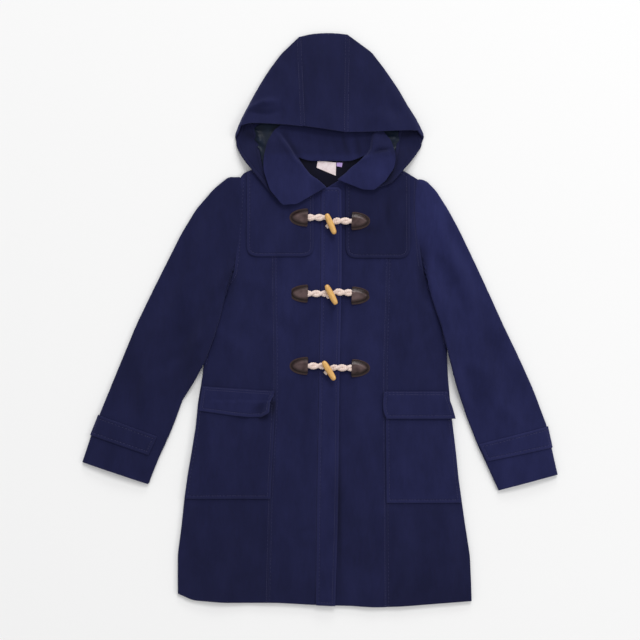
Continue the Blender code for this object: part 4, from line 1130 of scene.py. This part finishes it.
front = {"wall": 2.4 * mm, "lowest": 5.1 * mm}
yoke = {"corner": 60, "settle": 5 * mm, "rounds": 60}
flap = {"wall": 2.2 * mm, "rows": ((None, sewing["inset"]), ("top", 2.0 * mm))}
sleeve = {"wall": 2.2 * mm, "rows": (), "rest": 3 * mm}
hood = {"wall": 2.2 * mm, "held": "folded", "rest": 5 * mm}
# Tones paint the light as well as the cloth's own tone: the fronts lighter towards the top, the right-hand
# sleeve and the collar's leaves lighter, the facings darker
panels = {
    "back": sewn(0.53, 0.80, wall=2.5 * mm, cell=8 * mm, creased=0.0, tone=0.8, shaping=growBack),
    "front_side_r": sewn(0.19, 0.77, "back", tone=((-500, 0.76), (-300, 0.86), (100, 1.06)), **front,
                         rows=(("front_centre_r", sewing["seam"]), ("sleeve_r", sewing["armhole"]))),
    "front_side_l": sewn(0.17, 0.77, "back", tone=((-500, 0.77), (-300, 0.88), (100, 1.12)), **front,
                         rows=(("front_centre_l", sewing["seam"]), ("sleeve_l", sewing["armhole"]))),
    "front_centre_r": sewn(0.12, 0.79, "back", tone=((-500, 0.84), (-250, 0.98), (150, 1.23)), **front,
                           rows=(("front_side_r", sewing["seam"]),)),
    "front_centre_l": sewn(0.15, 0.79, "back", tone=((-500, 0.88), (-250, 1.00), (150, 1.17)), **front,
                           rows=(("front_side_l", sewing["seam"]),),
                           lines=(((49, 226), (49.5, 187)), ((54.5, 226), (55, 187)))),
    "placket": sewn(0.04, 0.75, "front_centre_l", wall=3.0 * mm,
                    tone=((-500, 0.99), (-200, 1.12), (150, 1.37))),
    "yoke_r": sewn(0.13, 0.17, "front_side_r", tone=1.03, **yoke),
    "yoke_l": sewn(0.13, 0.17, "front_side_l", tone=0.87, **yoke),
    "pocket_r": sewn(0.16, 0.23, "front_side_r", tone=0.93,
                     shades=((-79, -128, -82, -166, -0.55, 6), (-110, -172, -88, -166, -0.35, 5))),
    "pocket_l": sewn(0.14, 0.23, "front_side_l", tone=1.10),
    "flap_r": sewn(0.135, 0.056, "pocket_r", tone=1.12, shades=((-112, -163, -100, -150, -0.30, 7),),
                   made=curledFlap, rounds=0, cell=2.2 * mm, **flap),
    "flap_l": sewn(0.13, 0.056, "pocket_l", tone=1.14, **flap),
    "sleeve_r": sewn(0.34, 0.58, tone=((-200, 0.90), (-100, 0.76), (0, 0.84), (150, 0.92)),
                     joins="front_side_r", rounded=((-301, -285),), **sleeve),
    "sleeve_l": sewn(0.34, 0.58, tone=((-200, 1.28), (-100, 1.18), (0, 1.29), (150, 1.52)),
                     joins="front_side_l", rounded=((297, -297),), **sleeve),
    "cuff_tab_r": sewn(0.11, 0.05, "sleeve_r", tone=0.87),
    "cuff_tab_l": sewn(0.11, 0.05, "sleeve_l", tone=1.31),
    "hood_side_r": sewn(0.20, 0.45, tone=((335, 1.00), (400, 0.88)), rows=(("hood_centre", sewing["seam"]),),
                        shades=((-124, 363, -76, 372, -0.14, 3.5), (-126, 372, -80, 382, 0.10, 3)),
                        rounded=((-149, 320), (-146, 308)), shaping=layFlat, **hood),
    "hood_side_l": sewn(0.20, 0.45, tone=((335, 1.00), (400, 0.88)), rows=(("hood_centre", sewing["seam"]),),
                        rounded=((182, 320), (178, 308), (90, 468)), shaping=tuckWing(layFlat), **hood),
    "hood_centre": sewn(0.09, 0.40, tone=((335, 0.98), (400, 0.86)), **hood,
                        rows=(("hood_side_r", sewing["seam"]), ("hood_side_l", sewing["seam"]))),
    "hood_facing_r": sewn(0.05, 0.20, "hood_side_r", tone=0.74, creased=0.0, rounded=((-146, 308),),
                          shades=((-103, 300, -70, 205, -0.7, 9), (-135, 330, -110, 318, -0.4, 8)),
                          shaping=growFacing((-146.5, 308.5), (-129, 343), (-0.89, 0.45))),
    "hood_facing_l": sewn(0.05, 0.20, "hood_side_l", tone=0.78, creased=0.0, rounded=((178, 308),),
                          shades=((134, 292, 112, 228, -0.65, 8), (170, 330, 140, 322, -0.4, 7)),
                          shaping=tuckWing(growFacing((178.5, 308.5), (161.5, 333), (0.82, 0.57)))),
    "hood_lining": sewn(0.34, 0.23, "hood_side_r", wall=0.7 * mm, cell=2.2 * mm, creased=0.0,
                        shades=((-122, 342, -90, 344, -0.7, 9), (-97, 330, -92, 280, -0.75, 8),
                                (-114, 333, -107, 324, 1.3, 2.4), (-109, 318, -105, 303, 1.2, 2.4),
                                (-117, 322, -110, 312, 0.8, 2.0), (128, 330, 130, 300, -0.6, 3),
                                (138, 330, 132, 306, 0.5, 4)), shaping=spreadLining),
    "collar": sewn(0.12, 0.50, wall=2.0 * mm, cell=2.2 * mm, rows=(), held="folded", creased=0.25, soft=True,
                   corner=80, rounded=((-66, 201), (-41, 203), (95, 228)),
                   tone=((250, 1.30), (285, 1.25), (292, 0.96)),
                   shades=((-66, 330, -27, 270, -0.36, 5), (38, 326, 51, 281, -0.30, 4.5),
                           (64, 322, 69, 284, -0.28, 4), (91, 290, 124, 299, -0.32, 2.2),
                           (53, 326, 58, 284, 0.14, 5), (-20, 338, 60, 336, -0.10, 8),
                           (83, 330, 80, 300, -0.18, 5)), shaping=foldCollar),
    "neck_lining": sewn(0.15, 0.07, "back", wall=0.8 * mm, creased=0.0, shaping=growNeckLining),
}


def sewCoat():
    for node, look in panels.items():
        own = {"name": "cloth_" + node, "finish": linings.get(node, navyWool),
               "slot": "satin_lining" if "lining" in node else "wool_melton"}
        clothShell(node, {**look, **own})


sewCoat()


# Topstitching


def stitchPlaces(cloth, pitch=sewing["pitch"]):  # where the stitches of a piece lie, evenly apart
    places = []
    for followed, inset in cloth["rows"]:
        for spot, inward, along in followed:
            target = spot + inward * inset
            if cloth["edge"].find(target)[2] < 0.9 * inset:
                continue
            hit, way, _, _ = cloth["surface"].find_nearest(target)
            if hit is not None and way.z > 0.1:
                places.append((hit, way, along))
    chosen, grid = [], {}
    for hit, way, along in places:
        key = tuple(int(math.floor(c / pitch)) for c in hit)
        near = [other for dx in (-1, 0, 1) for dy in (-1, 0, 1) for dz in (-1, 0, 1)
                for other in grid.get((key[0] + dx, key[1] + dy, key[2] + dz), ())]
        if all((other - hit).length > pitch * 0.97 for other in near):
            grid.setdefault(key, []).append(hit)
            chosen.append((hit, way, along))
    return chosen


def ringFaces(first, rings, sides):  # the faces round a row of rings, closed at both ends
    faces = []
    for ring in range(rings - 1):
        for k in range(sides):
            a, b = first + ring * sides + k, first + ring * sides + (k + 1) % sides
            faces.append((a, b, b + sides, a + sides))
    faces.append(tuple(first + k for k in reversed(range(sides))))
    faces.append(tuple(first + (rings - 1) * sides + k for k in range(sides)))
    return faces


def roundMesh(name, vertices, faces):
    mesh = bpy.data.meshes.new(name)
    mesh.from_pydata(vertices, [], faces)
    body = bmesh.new()
    body.from_mesh(mesh)
    bmesh.ops.recalc_face_normals(body, faces=body.faces)
    body.to_mesh(mesh)
    body.free()
    mesh.shade_smooth()
    return mesh


def addStitches(name, places, finish, long=sewing["length"], thick=sewing["thickness"]):
    rings, sides = sewing["rings"], sewing["sides"]
    vertices, faces = [], []
    for hit, way, along in places:
        along = (along - way * along.dot(way)).normalized()
        across = way.cross(along)
        faces += ringFaces(len(vertices), len(rings), sides)
        for place, share in rings:
            middle = hit - way * sewing["depth"] + along * (place * long)
            for k in range(sides):
                angle = 2 * math.pi * k / sides
                out = across * math.cos(angle) + way * math.sin(angle)
                vertices.append(middle + out * (share * thick * sewing["plump"]))
    addPiece(name, roundMesh(name, vertices, faces), finish)


unstitched = ("back", "hood_lining", "neck_lining", "hood_facing_r", "hood_facing_l")


def addStitching():
    finish = threadFinish("navy thread", True)
    places = [place for node, cloth in cloths.items() if node not in unstitched
              for place in stitchPlaces(cloth)]
    addStitches("topstitching", places, finish)
    print("topstitching:", len(places), "stitches")


addStitching()


# Neck label and size tab, both bare

tapes = {
    "label": {"cut": (0.034, 0.021), "cell": 1.6 * mm, "slot": "label_tape",
              "weave": ("bare woven label", (0.62, 0.47, 0.50), (0.88, 0.79, 0.80))},
    "size_tab": {"cut": (0.0105, 0.0100), "cell": 1.2 * mm, "slot": "tab_tape",
                 "weave": ("bare lilac tab", (0.30, 0.19, 0.48), (0.48, 0.33, 0.68))},
}
tapeCloth = {"wall": 0.45 * mm, "creased": 0.0, "rows": (), "edgeRadius": 0.12 * mm,
             "settle": 0.2 * mm}


def addTapes():
    for node, look in tapes.items():
        clothShell(node, {**tapeCloth, **look, "name": "tape_" + node, "finish": tapeFinish(*look["weave"])})


addTapes()
print("label and size tab ready")


# Leather patches

patchShape = {
    "cell": 0.9 * mm,
    "rings": (1.0, 0.965, 0.93, 0.895, 0.86, 0.82, 0.78, 0.74, 0.69, 0.63, 0.56, 0.48, 0.39, 0.29, 0.18,
              0.08),
    "fullness": 2.1,  # 2 is an ellipse
    "corner": 2.4 * mm,
    "slant": 0.035,
    "gap": 0.2 * mm,
    "rim": 1.9 * mm,  # thickness at the stitched rim
    "crown": 5.6 * mm,
    "rimWidth": 2.9 * mm,
    "shoulder": 7.0 * mm,  # from the rim's inner line up to the crown
    "wall": 1.5 * mm,
    "edgeRadius": 0.35 * mm,
    "sunk": 1.6 * mm,  # how far below its own solid's top the leather starts
    "spine": (0.30, 0.60),  # the rings close in on this stretch of the middle
    "stitchInset": 1.9 * mm,
    "stitchPitch": 2.6 * mm,
    "stitchLength": 2.0 * mm,
    "stitchThickness": 0.4 * mm,
}


def patchOutline(long, half, spacing):  # out from the straight edge, across
    bend = patchShape["corner"]
    line = [(0.0, -(half - bend)), (0.0, half - bend)]
    for k in range(1, 7):
        angle = math.radians(15 * k)
        line.append((bend - bend * math.cos(angle), half - bend + bend * math.sin(angle)))
    power = 2.0 / patchShape["fullness"]
    for k in range(1, 120):
        angle = math.radians(90 - 1.5 * k)
        out = long * math.cos(angle) ** power
        if out > bend:
            line.append((out, math.copysign(half * abs(math.sin(angle)) ** power, math.sin(angle))))
    for k in range(6):
        angle = math.radians(90 - 15 * k)
        line.append((bend - bend * math.cos(angle), -(half - bend) - bend * math.sin(angle)))
    line.append(line[0])
    count = round(sum(math.dist(a, b) for a, b in zip(line, line[1:])) / spacing)
    return alongLine(line, np.arange(count) / count)


def leatherPatch(node, finish):
    sheet, _ = outerSheet(node, 40)
    low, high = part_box(node)
    # the cord comes out at the straight edge; the nose is the other end
    straight, nose = (high[0], -1.0) if "_r_" in node else (low[0], 1.0)
    middle, half, long = (low[1] + high[1]) / 2, (high[1] - low[1]) / 2, high[0] - low[0]
    outline = np.array([v.co[:] for v in sheet.verts if v.is_boundary])
    slope = np.linalg.lstsq(np.c_[outline[:, :2], np.ones(len(outline))], outline[:, 2], rcond=None)[0]
    flat = patchOutline(long, half, patchShape["cell"] * (1.0))
    low, high = (share * long for share in patchShape["spine"])
    spine = np.stack([np.clip(flat[:, 0], low, high), np.zeros(len(flat))], axis=1)
    shape = bmesh.new()
    made = []
    for share in patchShape["rings"]:
        row = []
        for out, across in spine + (flat - spine) * share:
            lean = patchShape["slant"] * across * max(0.0, 1.0 - out / (0.4 * long))
            x = straight + nose * (out + lean * nose + patchShape["gap"])
            row.append(shape.verts.new((x, middle + across, 0.0)))
        made.append(row)
    joinRows(shape, made, True)
    bmesh.ops.triangulate(shape, faces=[shape.faces.new(made[-1])])
    shape.normal_update()
    if sum(face.normal.z for face in shape.faces) < 0:
        bmesh.ops.reverse_faces(shape, faces=shape.faces)
    shape.verts.index_update()

    def noseRims(rims):
        return [r for r in rims if abs(r[0].x - straight) > 1.5 * mm]

    points = pointsOf(shape)
    rims = rimPoints(shape, 0.8 * mm)
    inside = away(points, kdOf([r[0] for r in noseRims(rims)]), cutting["far"])
    up = step(patchShape["rimWidth"], patchShape["rimWidth"] + patchShape["shoulder"], inside)
    up = 0.35 * (inside > patchShape["rimWidth"]) * up ** 0.5 + 0.65 * up
    base = points[:, :2] @ slope[:2] + slope[2] - patchShape["sunk"]
    points[:, 2] = base + patchShape["rim"] + (patchShape["crown"] - patchShape["rim"]) * up
    setPoints(shape, points)
    mesh = bpy.data.meshes.new("leather_" + node)
    shape.to_mesh(mesh)
    mesh.attributes.new("fromEdge", "FLOAT", "POINT").data.foreach_set("value", inside)
    piece = addPiece("leather_" + node, mesh, finish, node)
    thicken(piece, patchShape["wall"], patchShape["edgeRadius"], 60)
    return {"rows": ((noseRims(rimPoints(shape, 0.8 * mm)), patchShape["stitchInset"]),),
            "edge": kdOf([r[0] for r in rims]), "surface": BVHTree.FromBMesh(shape)}


def addPatches():
    finish = leatherFinish("dark brown leather")
    thread = threadFinish("brown thread", False)
    patches = [leatherPatch(f"patch_{side}_{number}", finish) for side in "rl" for number in (1, 2, 3)]
    places = [place for patch in patches for place in stitchPlaces(patch, patchShape["stitchPitch"])]
    addStitches("patch_stitching", places, thread, patchShape["stitchLength"], patchShape["stitchThickness"])
    print("leather patches:", len(patches), "with", len(places), "stitches")


addPatches()


# Twisted cords

cordShape = {
    "strands": 2,
    "yarns": 3,
    "spread": 2.75 * mm,  # of the two strands, to each side
    "strandRadius": 1.75 * mm,
    "yarnRadius": 1.95 * mm,
    "flatness": 0.72,
    "turn": 33.0 * mm,  # length in which the strands go once round each other
    "yarnTurn": 10.5 * mm,
    "step": 0.75 * mm,
    "sides": 7,
    "middle": 2.6 * mm,  # how high the cord's middle lies where it isn't squeezed
    "sway": 0.55 * mm,
    "under": 5 * mm,  # how far a cord goes on under its patch
    "straight": 8 * mm,
    "loop": ((0.0, 4.6, 0.8), (0.2, 5.2, 1.0), (0.85, 5.2, 0.95), (1.0, 3.4, 0.7)),  # place, height, width
    "tail": ((0.0, 4.6, 0.8), (0.15, 5.2, 1.0), (0.55, 5.2, 1.0), (0.72, 3.2, 0.8), (0.9, 3.2, 0.62),
             (1.0, 2.6, 0.5)),
}


def crossways(centres, i):  # the level direction across a line of points
    ahead = (centres[min(i + 1, len(centres) - 1)] - centres[max(i - 1, 0)]).normalized()
    return ahead, ahead.cross(Vector((0.0, 0.0, 1.0))).normalized()


def tubeRings(centres, radii):
    vertices = []
    sides = cordShape["sides"]
    for i, (centre, radius) in enumerate(zip(centres, radii)):
        ahead, across = crossways(centres, i)
        up = across.cross(ahead).normalized() * cordShape["flatness"]
        for k in range(sides):
            angle = 2 * math.pi * k / sides
            vertices.append(centre + (across * math.cos(angle) + up * math.sin(angle)) * radius)
    return vertices


def alongRoute(route, spacing):  # a smooth curve through the places of a route
    points = [Vector(p) for p in route]
    smooth = []
    for i in range(len(points) - 1):
        p0, p1, p2, p3 = points[max(i - 1, 0)], points[i], points[i + 1], points[min(i + 2, len(points) - 1)]
        count = max(2, round((p2 - p1).length / spacing))
        for k in range(count):
            t = k / count
            smooth.append(0.5 * ((2 * p1) + (p2 - p0) * t + (2 * p0 - 5 * p1 + 4 * p2 - p3) * t * t
                                 + (3 * p1 - p0 - 3 * p2 + p3) * t ** 3))
    return smooth + [points[-1]]


def twistedCord(name, node, route, heights, start, finish):
    spine = alongRoute(route, cordShape["step"])
    lengths = [0.0]
    for a, b in zip(spine, spine[1:]):
        lengths.append(lengths[-1] + (b - a).length)
    places, tall, wide = zip(*heights)
    squeeze = np.interp(np.array(lengths) / lengths[-1], places, tall) / max(tall)
    widths = np.interp(np.array(lengths) / lengths[-1], places, wide)
    vertices, faces = [], []
    for strand in range(cordShape["strands"]):
        for yarn in range(cordShape["yarns"]):
            centres, radii = [], []
            for i, middle in enumerate(spine):
                turn = start + 2 * math.pi * lengths[i] / cordShape["turn"] + math.pi * strand
                own = 2 * math.pi * (lengths[i] / cordShape["yarnTurn"] + yarn / cordShape["yarns"]) + strand
                side = cordShape["spread"] * math.cos(turn) + cordShape["strandRadius"] * math.cos(own)
                rise = cordShape["sway"] * math.sin(turn)
                rise += cordShape["strandRadius"] * cordShape["flatness"] * math.sin(own)
                up = Vector((0.0, 0.0, (cordShape["middle"] + rise) * squeeze[i]))
                centres.append(middle + crossways(spine, i)[1] * (side * widths[i]) + up)
                radii.append(cordShape["yarnRadius"] * (0.55 + 0.45 * squeeze[i]))
            faces += ringFaces(len(vertices), len(centres), cordShape["sides"])
            vertices += tubeRings(centres, radii)
    addPiece(name, roundMesh(name, vertices, faces), finish, node)


def addCords():
    finish = cordFinish("pinkish cotton cord")
    for number in (1, 2, 3):
        toggleLow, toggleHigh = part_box(f"toggle_{number}")
        x, middle, _ = (Vector(toggleLow) + Vector(toggleHigh)) / 2
        low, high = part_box(f"cord_r_{number}")
        left, y, z = low[0], (low[1] + high[1]) / 2, low[2]
        route = ((left - cordShape["under"], y, z), (left + cordShape["straight"], y, z), (x - 10 * mm, y, z),
                 (x - 4 * mm, y - 1 * mm, z))
        twistedCord(f"loop_cord_{number}", f"cord_r_{number}", route, cordShape["loop"], 0.6 + number, finish)
        low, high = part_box(f"cord_l_{number}")
        right, y, z = high[0], high[1] - 6.4 * mm, low[2]
        route = ((right + cordShape["under"], y, z + 0.4 * mm), (right - cordShape["straight"], y, z),
                 (x + 17 * mm, y + 0.5 * mm, z), (x + 9 * mm, middle + 5 * mm, z),
                 (x, middle + 0.5 * mm, z), (x - 7 * mm, middle - 5.5 * mm, z))
        twistedCord(f"toggle_cord_{number}", f"cord_l_{number}", route, cordShape["tail"], 2.4 + number,
                    finish)
    print("cords: 6")


addCords()


# Wooden toggles

toggleShape = {
    "sides": 28,
    "profile": ((-20.0, 0.9), (-19.6, 1.9), (-18.7, 2.9), (-17.2, 3.7), (-14.0, 4.25), (-9.0, 4.6),
                (-3.0, 4.78), (3.0, 4.78), (9.0, 4.6), (14.0, 4.25), (17.2, 3.7), (18.7, 2.9), (19.6, 1.9),
                (20.0, 0.9)),
    "widened": 1.14,  # seen from above a toggle is a little wider than it is high
    "shortened": 0.965,
    "whittled": 0.16 * mm,
    "ripples": 90.0,
}


def turnToggle(number):
    node = f"toggle_{number}"
    points = pointsOf(solidOf(node))
    middle = (points.min(axis=0) + points.max(axis=0)) / 2
    flat = points[:, :2] - middle[:2]
    axis = np.linalg.eigh(flat.T @ flat)[1][:, -1]
    turn = math.atan2(axis[1], axis[0])
    start, radius = toggleShape["profile"][0]
    bpy.ops.object.select_all(action="DESELECT")
    bpy.ops.mesh.primitive_circle_add(vertices=toggleShape["sides"], radius=radius * mm, fill_type="NGON",
                                      location=(0.0, 0.0, start * mm))
    toggle = bpy.context.object
    toggle.name = f"wooden_toggle_{number}"
    bpy.ops.object.transform_apply(location=True, rotation=True, scale=True)
    bpy.ops.object.mode_set(mode="EDIT")
    bpy.ops.mesh.select_all(action="SELECT")
    for (z0, r0), (z1, r1) in zip(toggleShape["profile"], toggleShape["profile"][1:]):
        bpy.ops.mesh.extrude_region_move(TRANSFORM_OT_translate={"value": (0.0, 0.0, (z1 - z0) * mm)})
        bpy.ops.transform.resize(value=(r1 / r0, r1 / r0, 1.0), center_override=(0.0, 0.0, z1 * mm))
    bpy.ops.mesh.select_all(action="SELECT")
    bpy.ops.transform.resize(value=(1.0, toggleShape["widened"], toggleShape["shortened"]),
                             center_override=(0.0, 0.0, 0.0))
    bpy.ops.mesh.normals_make_consistent(inside=False)
    bpy.ops.object.mode_set(mode="OBJECT")
    toggle.rotation_euler = (0.0, math.pi / 2, turn)
    toggle.location = middle
    bpy.ops.object.transform_apply(location=True, rotation=True, scale=True)
    for v in toggle.data.vertices:  # whittled, so not quite round
        wobble = noise.noise(v.co * toggleShape["ripples"] + Vector((number, 0.0, 0.0)))
        v.co += v.normal * (toggleShape["whittled"] * wobble)
    rounder = toggle.modifiers.new("smoother", "SUBSURF")
    rounder.levels = rounder.render_levels = 1
    bpy.ops.object.modifier_apply(modifier="smoother")
    toggle.data.shade_smooth()
    toggle.data.materials.append(timberFinish(f"varnished wood {number}", turn))
    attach(toggle, "root")
    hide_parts(node)
    toggle.select_set(False)


def addToggles():
    for number in (1, 2, 3):
        turnToggle(number)
    print("toggles: 3")


addToggles()
